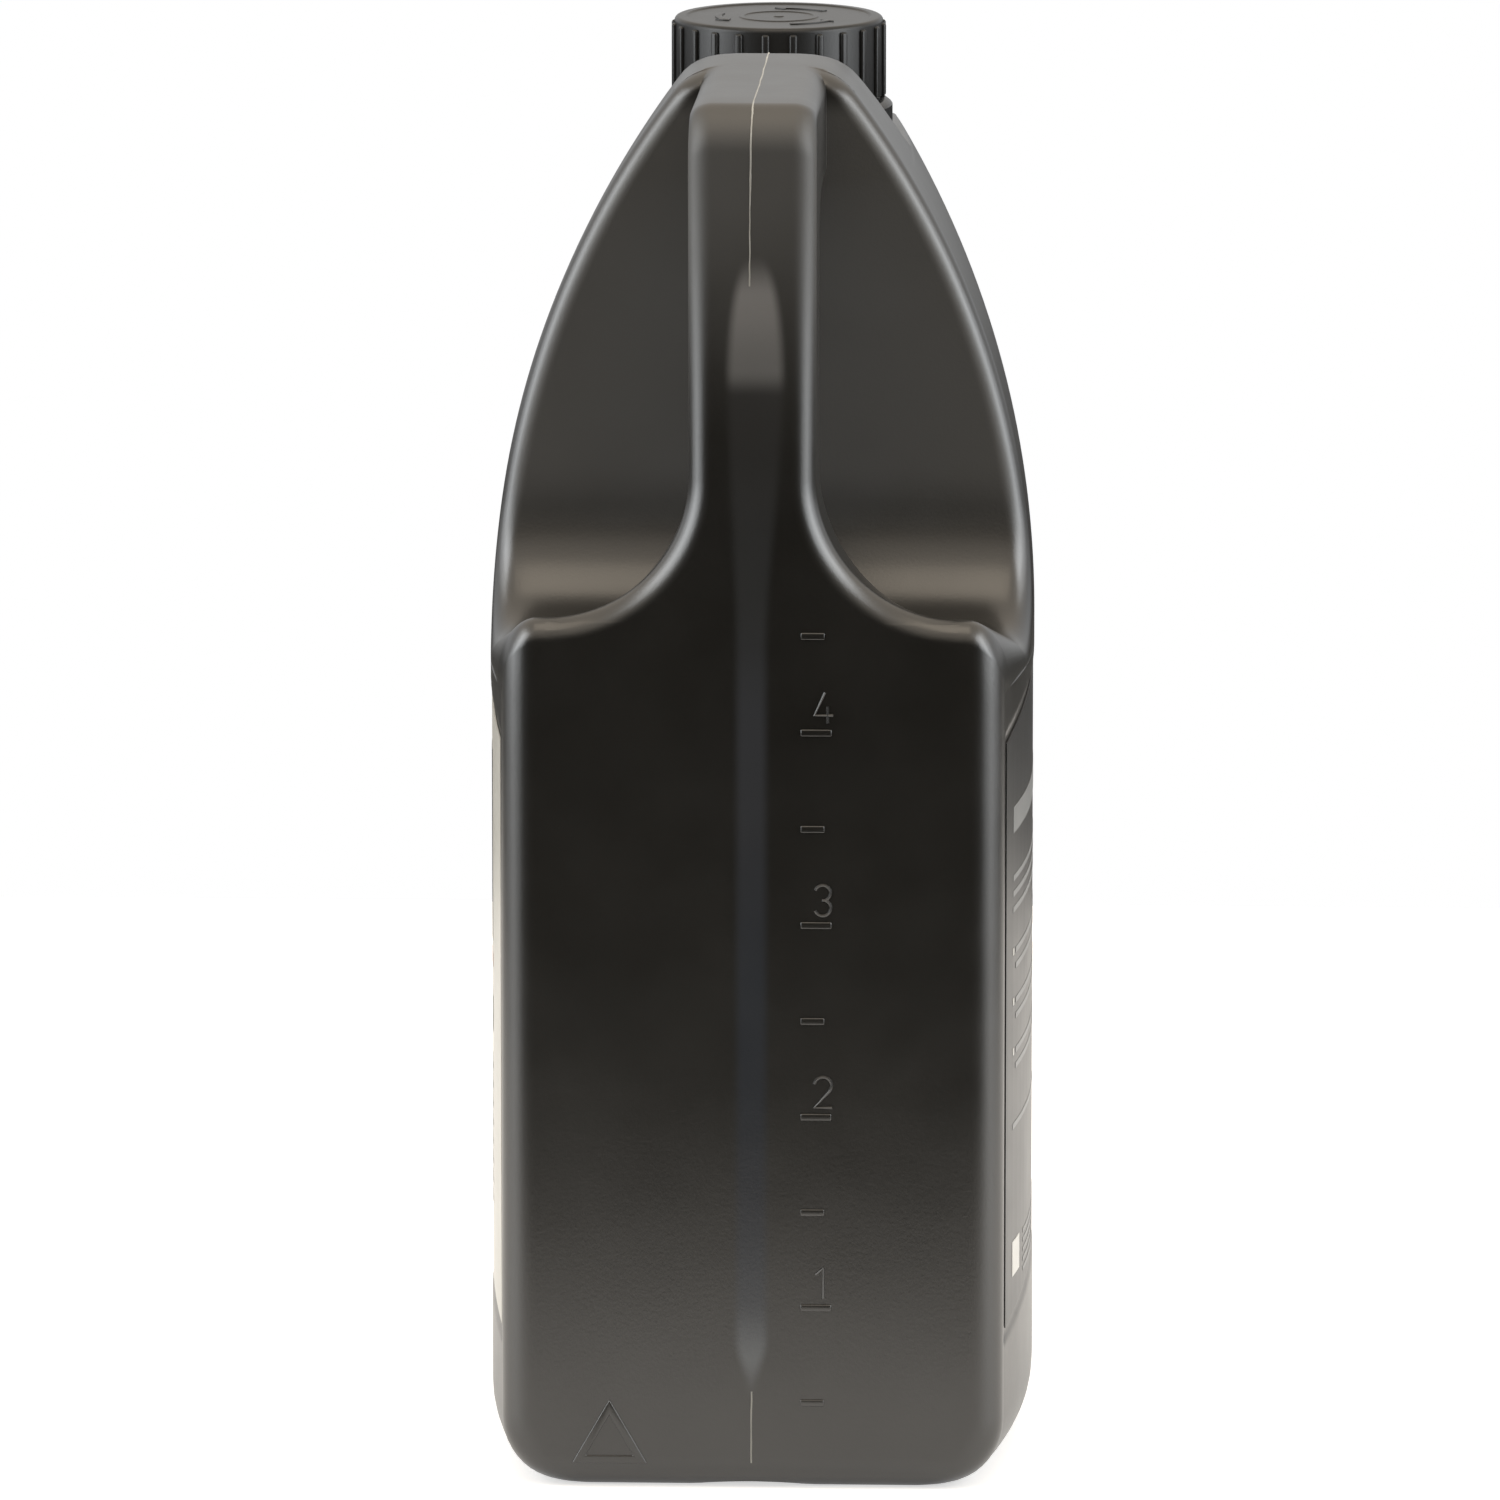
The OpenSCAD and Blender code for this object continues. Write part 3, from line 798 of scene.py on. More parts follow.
@dataclass
class Jug:
    """The blow-moulded jug with its neck, scale and marks. All sizes are in millimetres."""

    body_w: float = 123.0
    body_l: float = 192.0
    top: float = 313.85
    corner_r: float = 8.0
    barrel_at: float = 66.0
    front_barrel_r: float = 340.0
    barrel_r: float = 800.0
    base_r: float = 15.0
    base_end_r: float = 6.0
    wall: float = 1.4
    base_wall: float = 2.8
    spring_z: float = 187.0
    arch_r: float = 200.0
    ridge_r: float = 15.0
    arch_edge_r: float = 5.0
    platform_z: float = 289.0
    shoulder_r: float = 10.0
    slope_start: float = 90.0
    slope_end: float = 126.0
    platform_drop: float = 0.8
    shelf_z: float = 198.2
    shelf_r: float = 5.0
    shelf_side_z: float = 181.5
    shelf_side_r: float = 9.5
    side_step: float = 0.25
    trough_z: float = 190.0
    recess_depth: float = 64.0
    recess_r: float = 25.0
    grip_w: float = 28.5
    post_depth: float = 28.0
    bar_h: float = 27.0
    grip_edge_r: float = 5.5
    bend_r: float = 10.0
    gap_corner_r: float = 10.0
    flare_r: float = 32.0
    flare_back: float = 14.0
    bar_flare: float = 6.0
    foot_sink: float = 6.0
    foot_bed: float = 0.1
    neck_bore: float = 38.0
    neck_d: float = 43.0
    neck_h: float = 21.7
    bead_d: float = 45.8
    bead_z: float = 290.9
    bead_h: float = 1.8
    panel_depth: float = 0.7
    panel_end: float = 8.0
    panel_low: float = 31.0
    panel_high: float = 172.0
    panel_rise: float = 8.0
    panel_edge: float = 2.2
    groove_w: float = 30.0
    groove_depth: float = 1.2
    mark_x: float = 11.0
    mark_low: float = 20.0
    mark_pitch: float = 21.9
    mark_count: int = 9
    litre_mark: float = 7.0
    half_mark: float = 5.4
    mark_h: float = 1.6
    mark_relief: float = 0.4
    mark_root: float = 0.6
    mark_edge: float = 0.28
    digit_h: float = 7.0
    digit_x: float = 15.6
    digit_lift: float = 2.2
    digit_stroke: float = 0.38
    triangle_side: float = 17.0
    triangle_x: float = -32.0
    triangle_z: float = 5.7
    triangle_stroke: float = 1.8
    flash_r: float = 0.22

    @property
    def half_l(self) -> float:
        """Half of the jug's length."""
        return self.body_l / 2

    @property
    def span(self) -> float:
        """Half length of a label panel."""
        return self.half_l - self.panel_end

    @property
    def trough_turn(self) -> float:
        """Slope of the flank between the rim and the hollow, in radians."""
        run = self.recess_depth - self.recess_r - self.shelf_r
        rise = self.trough_z + self.recess_r - self.shelf_z + self.shelf_r
        return math.asin((self.shelf_r + self.recess_r) / math.hypot(run, rise)) - math.atan2(rise, run)

    @property
    def ridge_x(self) -> float:
        """Half width of the flat ridge."""
        rise = self.top - self.ridge_r - self.spring_z
        return math.sqrt((self.arch_r - self.ridge_r) ** 2 - rise**2) - self.arch_r + self.body_w / 2

    def arch_half(self, z: float, t: float) -> float:
        """Half width of the arched shoulders at height z, for a skin set in by t."""
        offset = self.arch_r - self.body_w / 2
        ridge_z = self.top - self.ridge_r
        sine = (ridge_z - self.spring_z) / (self.arch_r - self.ridge_r)
        if z <= self.spring_z:
            return self.body_w / 2 - t
        if z <= self.spring_z + (self.arch_r - t) * sine:
            return math.sqrt((self.arch_r - t) ** 2 - (z - self.spring_z) ** 2) - offset
        return self.ridge_x + math.sqrt(max(0.0, (self.ridge_r - t) ** 2 - (z - ridge_z) ** 2))

    def arch_front(self, z: float, t: float) -> float:
        """Front limit near the ridge, where the arch's front edge is rounded over the top."""
        rise = max(0.0, z - (self.top - self.arch_edge_r))
        drop = math.sqrt(max(0.01, self.arch_edge_r**2 - rise * rise))
        return self.recess_depth + t + self.arch_edge_r - drop

    def end_inset(self, z: float, t: float, tb: float) -> float:
        """How far the ends are set in at height z of the base's edge."""
        u = max(0.0, self.base_end_r - z) / (self.base_end_r - tb)
        return self.base_end_r - (self.base_end_r - t) * math.sqrt(max(0.0, 1 - u * u))

    def wall_heights(self, t: float) -> np.ndarray:
        """Heights of the sections between the base's edge and the rim, close at the outer panel's edges."""
        close = 2.5 if t else 0.6
        low, high = self.panel_low - 1, self.panel_high - 3
        crest = self.panel_low + self.panel_rise + 4
        return np.concatenate(
            [
                np.linspace(self.base_r, low, 8)[1:-1],
                np.arange(low, crest, close),
                np.linspace(crest, high, 22)[:-1],
                np.arange(high, self.shelf_side_z, close),
            ]
        )

    def barrel(self, y: np.ndarray | float) -> np.ndarray | float:
        """How much narrower a broad side is at distance y from the handle end than at its widest place."""
        radius = np.where(y < self.barrel_at, self.front_barrel_r, self.barrel_r)
        return (y - self.barrel_at) ** 2 / (2 * radius)

    def sections(self, t: float, tb: float) -> list[Section]:
        """List the jug's sections from the base up.

        Args:
            t: How far the walls are set in.
            tb: How far the base is set in.

        Returns:
            The sections in order.
        """
        rows: list[Section] = []
        back, corner, edge = self.body_l - t, self.corner_r - t, self.arch_edge_r - t
        for a in np.radians(np.linspace(0, 90, 13)):
            z = self.base_r - (self.base_r - tb) * math.cos(a)
            e = self.end_inset(z, t, tb)
            inset = (self.base_r - t) * (1 - math.sin(a))
            rows.append(Section(z, e, self.body_l - e, corner, corner, inset))
        for z in self.wall_heights(t):
            rows.append(Section(z, t, back, corner, corner, panel=True))
        lip = self.shelf_r - t
        turn = self.trough_turn
        for k in np.linspace(0, 1, 16):
            a = (math.pi / 2 + turn) * k
            z = self.shelf_side_z + self.side_step * (0.1 + 0.9 * k)
            front = self.shelf_r - lip * math.cos(a)
            high = self.shelf_z - self.shelf_r + lip * math.sin(a)
            rows.append(Section(z, front, back, corner, corner, 0.0, high - z))
        hollow = self.recess_r + t
        for k in np.linspace(0, 1, 30):
            a = (math.pi / 2 + turn) * k - turn
            high = self.trough_z + self.recess_r - hollow * math.cos(a)
            front = self.recess_depth - self.recess_r + hollow * math.sin(a)
            if a > 0:
                lift = (self.trough_z - t - self.shelf_side_z - 2 * self.side_step) * math.cos(a)
            else:
                lift = high - self.shelf_side_z - self.side_step * (2 + a / (2 * turn))
            u = min(1.0, 3.5 * k)
            r_front = self.corner_r * (1 - u) + self.arch_edge_r * u - t
            rows.append(Section(high - lift, front, back, r_front, corner, 0.0, lift))
        wall_y = self.recess_depth + t
        low = self.trough_z + self.recess_r
        high = self.platform_z - self.platform_drop - self.shoulder_r
        for z in np.linspace(low, high, 20)[1:-1]:
            rows.append(Section(z, wall_y, back, edge, corner))
        shoulder = self.shoulder_r - t
        for a in np.radians(np.linspace(0, 90, 11)):
            z = high + shoulder * math.sin(a)
            end = self.body_l - self.shoulder_r + shoulder * math.cos(a)
            rows.append(Section(z, wall_y, end, edge, corner))
        rise, run = self.top - self.platform_z, self.slope_end - self.slope_start
        slope_r = (run * run + rise * rise) / (4 * rise)
        turn = math.asin(run / (2 * slope_r))
        for k in np.linspace(0, 1, 10):
            r, a = slope_r + t, turn * k
            z = self.platform_z + slope_r - r * math.cos(a)
            end = self.slope_end - r * math.sin(a)
            rows.append(Section(z, wall_y, end, edge, self.corner_r * (1 - k / 2) - t))
        for k in np.linspace(0, 1, 11)[1:]:
            r, a = slope_r - t, turn * (1 - k)
            z = self.top - slope_r + r * math.cos(a)
            end = self.slope_start + r * math.sin(a)
            rows.append(Section(z, self.arch_front(z + t, t), end, edge, edge))
        return rows

    def ring(self, s: Section, t: float) -> np.ndarray:
        """Lay out one section's points.

        Args:
            s: The section.
            t: How far the skin is set in.

        Returns:
            Points in the part's frame, anticlockwise from above.
        """
        wide = self.arch_half(s.z, t) - s.inset
        rf, rb = min(s.r_front, wide * 0.6), min(s.r_back, wide * 0.6)
        y0, y1 = s.front + rf, s.back - rb
        x0, x1 = wide - self.barrel(y0), wide - self.barrel(y1)
        flat = 1 - (1 - (np.arange(14) + 0.5) / 14) ** 1.35
        turn = np.radians(np.linspace(0, 90, 15))
        close = np.arange(1, 9) * 0.4
        middle = np.linspace(y0 + close[-1], y1 - close[-1], 32)[1:-1]
        along = np.concatenate([y0 + close, middle, y1 - close[::-1]])
        x = np.concatenate(
            [
                (x0 - rf) * flat,
                x0 - rf + rf * np.sin(turn),
                wide - self.barrel(along),
                x1 - rb + rb * np.sin(turn[::-1]),
                (x1 - rb) * flat[::-1],
            ]
        )
        y = np.concatenate(
            [
                np.full(len(flat), s.front),
                y0 - rf * np.cos(turn),
                along,
                y1 + rb * np.cos(turn[::-1]),
                np.full(len(flat), s.back),
            ]
        )
        y = y - self.half_l
        z = np.full_like(x, s.z)
        near = len(flat) + len(turn)
        rounding = self.shelf_side_r - t
        q = np.maximum(0.0, x[:near] - x0 + rounding) / rounding
        z[:near] += s.lift * np.sqrt(np.maximum(0.0, 1 - q * q))
        if s.panel:
            x = self.press_panel(x, y, s.z, t)
        return np.concatenate([np.stack([x, y, z], 1), np.stack([-x, y, z], 1)[::-1]])

    def press_panel(self, x: np.ndarray, y: np.ndarray, z: float, t: float) -> np.ndarray:
        """Press the label panel into a section of the side.

        Args:
            x: Half widths.
            y: Places along the jug.
            z: The section's height.
            t: How far the skin is set in.

        Returns:
            The new half widths.
        """
        arc_r = (self.span**2 + self.panel_rise**2) / (2 * self.panel_rise)
        held = np.clip(y, -self.span, self.span)
        rise = np.sqrt(arc_r**2 - held**2) - (arc_r - self.panel_rise)
        floor = self.body_w / 2 - self.panel_depth - t - self.barrel(y + self.half_l)
        inside = np.minimum(z - self.panel_low - rise, self.panel_high + rise - z)
        reach = np.minimum(self.span - np.abs(y), inside)
        return x - np.maximum(0.0, x - floor) * smooth_step(reach / self.panel_edge)

    def foot_row(self, a: float, sunk: float) -> GripRow:
        """Return the section of the handle's foot where the flare has turned by a."""
        spread = 1 - math.sin(a)
        sunk = sunk + self.foot_bed
        z = self.shelf_z + self.flare_r * (1 - math.cos(a)) - sunk
        dip = self.shelf_z - self.trough_z
        return GripRow(
            np.array([self.foot_bed if sunk > self.shelf_r + self.foot_bed else 0.0, z]),
            np.array([self.post_depth + self.flare_back * spread, z - dip * spread]),
            self.grip_w / 2 + self.flare_r * spread,
            self.shelf_r + (self.grip_edge_r - self.shelf_r) * math.sin(a),
            self.grip_edge_r + self.flare_back * spread,
            self.flare_r * math.cos(a) + sunk,
        )

    def grip_sections(self) -> list[GripRow]:
        """List the handle's sections from its foot to the end of its bar."""
        half, edge = self.grip_w / 2, self.grip_edge_r
        rows = [self.foot_row(0.0, self.foot_sink)]
        rows += [self.foot_row(0.0, self.shelf_r * u) for u in np.linspace(0.985, 0, 11)[:-1]]
        rows += [self.foot_row(a, 0.0) for a in np.radians(np.linspace(0, 90, 31))]
        low = self.shelf_z + self.flare_r
        for k in np.linspace(0, 1, 14)[1:-1]:
            outer_z = low + (self.top - self.bend_r - low) * k
            inner_z = low + (self.top - self.bar_h - self.gap_corner_r - low) * k
            outer, inner = np.array([0, outer_z]), np.array([self.post_depth, inner_z])
            rows.append(GripRow(outer, inner, half, edge, edge))
        for a in np.radians(np.linspace(0, 90, 19)):
            out, rise = 1 - math.cos(a), 1 - math.sin(a)
            outer = np.array([self.bend_r * out, self.top - self.bend_r * rise])
            inner = np.array(
                [
                    self.post_depth + self.gap_corner_r * out,
                    self.top - self.bar_h - self.gap_corner_r * rise,
                ]
            )
            rows.append(GripRow(outer, inner, half, edge, edge))
        first_outer, first_inner = self.bend_r, self.post_depth + self.gap_corner_r
        flare_at = self.recess_depth + self.arch_edge_r - self.bar_flare
        for k in np.linspace(0, 1, 7)[1:]:
            outer = np.array([first_outer + (flare_at - first_outer) * k, self.top])
            inner = np.array([first_inner + (flare_at - first_inner) * k, self.top - self.bar_h])
            rows.append(GripRow(outer, inner, half, edge, edge))
        ridge_half = self.ridge_x + self.ridge_r
        for a in np.radians(np.linspace(0, 90, 10))[1:]:
            share = 1 - math.cos(a)
            y = flare_at + self.bar_flare * math.sin(a)
            outer, inner = np.array([y, self.top]), np.array([y, self.top - self.bar_h])
            wide = half + (ridge_half - half) * share
            rows.append(GripRow(outer, inner, wide, edge + (self.ridge_r - edge) * share, edge))
        y = self.recess_depth + self.arch_edge_r + 2
        outer, inner = np.array([y, self.top]), np.array([y, self.top - self.bar_h])
        rows.append(GripRow(outer, inner, ridge_half, self.ridge_r, edge))
        return rows

    def grip_ring(self, row: GripRow, t: float) -> np.ndarray:
        """Lay out one rounded section of the handle.

        Args:
            row: The section.
            t: How far the skin is set in.

        Returns:
            Points in the part's frame.
        """
        across = row.inner - row.outer
        deep = float(np.linalg.norm(across))
        along = across / deep
        r0, r1 = row.r_outer - t, row.r_inner - t
        turn = np.radians(np.linspace(0, 90, 17))
        depth, inside = t + r0 * (1 - np.cos(turn)), t + r0 * (1 - np.sin(turn))
        if row.below:
            below = row.below - along[1] * depth
            spread = np.sqrt(np.maximum(0.0, (self.flare_r + inside) ** 2 - below**2))
            outer_x = self.grip_w / 2 + self.flare_r - spread
        else:
            outer_x = row.half - inside
        x = np.concatenate([outer_x, row.half - t - r1 + r1 * np.cos(turn)])
        v = np.concatenate([depth, deep - t - r1 + r1 * np.sin(turn)])
        x, v = np.concatenate([x, -x[::-1]]), np.concatenate([v, v[::-1]])
        place = row.outer + np.outer(v, along)
        return np.stack([x, place[:, 0] - self.half_l, place[:, 1]], 1)

    def skin(self, name: str, t: float, tb: float) -> bpy.types.Object:
        """Build the jug's closed form with its handle, set in by t at the walls and tb at the base."""
        form = loft(name, [self.ring(s, t) for s in self.sections(t, tb)])
        grip = loft(name + "_grip", [self.grip_ring(row, t) for row in self.grip_sections()])
        combine(form, grip, "UNION")
        return form

    def groove_tool(self) -> bpy.types.Object:
        """Build the cutter of the shallow channel along the base."""
        d = self.groove_depth
        r = (self.groove_w**2 / 4 + d * d) / (2 * d)
        limit = math.asin(self.groove_w / 2 / r) * 1.2
        arc = [(r * math.sin(a), d - r + r * math.cos(a)) for a in np.linspace(-limit, limit, 25)]
        arc = [(-self.groove_w * 0.62, -8.0), *arc, (self.groove_w * 0.62, -8.0)]
        rings = [np.array([(x, y, z) for x, z in arc]) for y in (self.half_l * 1.2, -self.half_l * 1.2)]
        cutter = loft("groove_cutter", rings)
        tidy_mesh(cutter)
        return cutter

    def neck(self) -> bpy.types.Object:
        """Build the neck's tube with its bead and rounded lip."""
        bore, out, low = self.neck_bore / 2, self.neck_d / 2, self.platform_z
        top = low + self.neck_h
        bead = self.bead_d / 2
        lip = 0.7
        profile = [(bore, low - 4), (out + 1.2, low - 4), (out + 1.2, low), (out, low + 0.9)]
        profile += [(out, self.bead_z), (bead - 0.3, self.bead_z), (bead, self.bead_z + 0.3)]
        profile += [(bead, self.bead_z + self.bead_h / 2), (out, self.bead_z + self.bead_h)]
        turn = np.radians(np.linspace(0, 90, 5))
        profile += [(out - lip + lip * math.cos(a), top - lip + lip * math.sin(a)) for a in turn]
        profile += [(bore + lip - lip * math.sin(a), top - lip + lip * math.cos(a)) for a in turn]
        return lathe("neck_tube", profile, 120, NECK_Y)

    def build_skin(self, plastic: bpy.types.Material) -> bpy.types.Object:
        """Build the hollow jug with its neck.

        Args:
            plastic: The jug's material.

        Returns:
            The dressed piece.
        """
        jug = self.skin("jug_skin", 0.0, 0.0)
        combine(jug, self.groove_tool(), "DIFFERENCE")
        combine(jug, self.skin("jug_hollow", self.wall, self.base_wall), "DIFFERENCE")
        mouth_r = (self.neck_bore + self.neck_d) / 4
        low, high = self.platform_z - self.shoulder_r, self.platform_z + self.shoulder_r
        mouth = lathe("mouth_cutter", [(0, low), (mouth_r, low), (mouth_r, high), (0, high)], 96, NECK_Y)
        combine(jug, mouth, "DIFFERENCE")
        combine(jug, self.neck(), "UNION")
        shade(jug, 32.0)
        return dress(jug, plastic, Body.BOTTLE, ("bottle_body",))

    def build_thread(self, plastic: bpy.types.Material, tool: NodeTool) -> bpy.types.Object:
        """Build the neck's screw thread."""
        thread = mesh_object("neck_thread", np.zeros((1, 3)), [])
        turns = 1.6
        tool.apply(
            thread,
            plastic,
            Turns=turns,
            Radius=(self.neck_d / 2 - 0.1) * MM,
            Rise=turns * THREAD_LEAD * MM,
            Thick=0.95 * MM,
            Base=(0.0, NECK_Y * MM, (self.platform_z + 8.6) * MM),
        )
        shade(thread)
        return dress(thread, plastic, Body.BOTTLE)

    def build_marks(self, plastic: bpy.types.Material, tool: NodeTool) -> bpy.types.Object:
        """Build the raised bars at each half litre."""
        half = self.mark_h / 2
        deep = (-self.mark_relief, self.mark_root)
        marks = block("scale_marks", (0.0, self.half_mark), deep, (-half, half))
        soften(marks, self.mark_edge, 3)
        tool.apply(
            marks,
            plastic,
            Count=self.mark_count,
            Start=(self.mark_x * MM, -self.half_l * MM, self.mark_low * MM),
            Pitch=self.mark_pitch * MM,
            Long=self.litre_mark / self.half_mark,
        )
        shade(marks)
        return dress(marks, plastic, Body.BOTTLE)

    @staticmethod
    def digit_lines() -> dict[int, list[list[tuple[float, float]]]]:
        """Return the strokes of the scale's digits, in a box one unit high."""

        def arc(cx: float, cy: float, r: float, start: float, end: float) -> list[tuple[float, float]]:
            """Points along a circle's arc, in degrees."""
            turn = np.radians(np.linspace(start, end, 14))
            return [(cx + r * math.cos(a), cy + r * math.sin(a)) for a in turn]

        return {
            1: [[(0.06, 0.78), (0.3, 1.0), (0.3, 0.0)]],
            2: [[*arc(0.28, 0.72, 0.28, 170, -40), (0.0, 0.0), (0.58, 0.0)]],
            3: [[*arc(0.27, 0.75, 0.25, 160, -90), *arc(0.27, 0.26, 0.26, 90, -160)]],
            4: [[(0.42, 0.0), (0.42, 0.55)], [(0.34, 1.0), (0.0, 0.26), (0.6, 0.26)]],
        }

    def build_digits(self, plastic: bpy.types.Material) -> bpy.types.Object:
        """Build the raised litre digits beside the scale."""
        curve = bpy.data.curves.new("scale_digits", "CURVE")
        curve.dimensions = "3D"
        curve.bevel_depth = self.digit_stroke * MM
        curve.bevel_resolution = 2
        curve.use_fill_caps = True
        for number, strokes in self.digit_lines().items():
            base = self.mark_low + self.mark_pitch * (2 * number - 1) + self.digit_lift
            for stroke in strokes:
                line = curve.splines.new("POLY")
                line.points.add(len(stroke) - 1)
                for point, (u, v) in zip(line.points, stroke):
                    x = self.digit_x - 1.5 + u * self.digit_h
                    point.co = (x * MM, -self.half_l * MM, (base + v * self.digit_h) * MM, 1.0)
        drawn = bpy.data.objects.new("scale_digits_line", curve)
        bpy.context.scene.collection.objects.link(drawn)
        graph = bpy.context.evaluated_depsgraph_get()
        mesh = bpy.data.meshes.new_from_object(drawn.evaluated_get(graph), depsgraph=graph)
        bpy.data.objects.remove(drawn)
        digits = bpy.data.objects.new("scale_digits", mesh)
        bpy.context.scene.collection.objects.link(digits)
        shade(digits)
        return dress(digits, plastic, Body.BOTTLE)

    def build_triangle(self, plastic: bpy.types.Material) -> bpy.types.Object:
        """Build the raised outline triangle low on the handle end."""
        side, stroke = self.triangle_side, self.triangle_stroke

        def corners(length: float, lift: float) -> list[tuple[float, float]]:
            """Corners of an upright triangle with its base at that height."""
            return [(-length / 2, lift), (length / 2, lift), (0.0, lift + length * math.sqrt(3) / 2)]

        outer, inner = corners(side, 0.0), corners(side - 2 * math.sqrt(3) * stroke, stroke)
        verts = [
            (self.triangle_x + x, y - self.half_l, self.triangle_z + z)
            for y in (-self.mark_relief, self.mark_root)
            for x, z in outer + inner
        ]
        faces = []
        for k in range(3):
            n = (k + 1) % 3
            faces += [(k, n, 3 + n, 3 + k), (6 + k, 9 + k, 9 + n, 6 + n)]
            faces += [(k, 6 + k, 6 + n, n), (3 + k, 3 + n, 9 + n, 9 + k)]
        triangle = mesh_object("raised_triangle", np.array(verts), faces)
        tidy_mesh(triangle)
        soften(triangle, self.mark_edge, 3)
        shade(triangle)
        return dress(triangle, plastic, Body.BOTTLE)

    def build_flash(self, flash: bpy.types.Material, tool: NodeTool) -> bpy.types.Object:
        """Build the trimmed flash along the mould's parting line."""
        sink = self.flash_r * 0.35
        turn = np.radians(np.linspace(90, 0, 12))
        inner = self.bend_r - sink
        top = self.top - sink
        lines = [
            [(y, top) for y in np.linspace(self.slope_start + 2, self.bend_r, 22)]
            + [
                (self.bend_r - inner * math.cos(a), self.top - self.bend_r + inner * math.sin(a))
                for a in turn[1:]
            ]
            + [(sink, z) for z in np.linspace(self.top - self.bend_r - 3, 274, 12)],
            [(sink, z) for z in np.linspace(22.5, self.base_end_r, 8)],
        ]
        points, edges = [], []
        rng = np.random.default_rng(5)
        for line in lines:
            first = len(points)
            sway = np.cumsum(rng.normal(0.0, 0.05, len(line)))
            points += [(s - sway.mean(), y - self.half_l, z) for (y, z), s in zip(line, sway)]
            edges += [(first + k, first + k + 1) for k in range(len(line) - 1)]
        mesh = bpy.data.meshes.new("parting_flash")
        mesh.from_pydata((np.array(points) * MM).tolist(), edges, [])
        piece = bpy.data.objects.new("parting_flash", mesh)
        bpy.context.scene.collection.objects.link(piece)
        tool.apply(piece, flash, Thick=self.flash_r * MM, Uneven=1.1)
        shade(piece, 60.0)
        return dress(piece, flash, Body.BOTTLE)


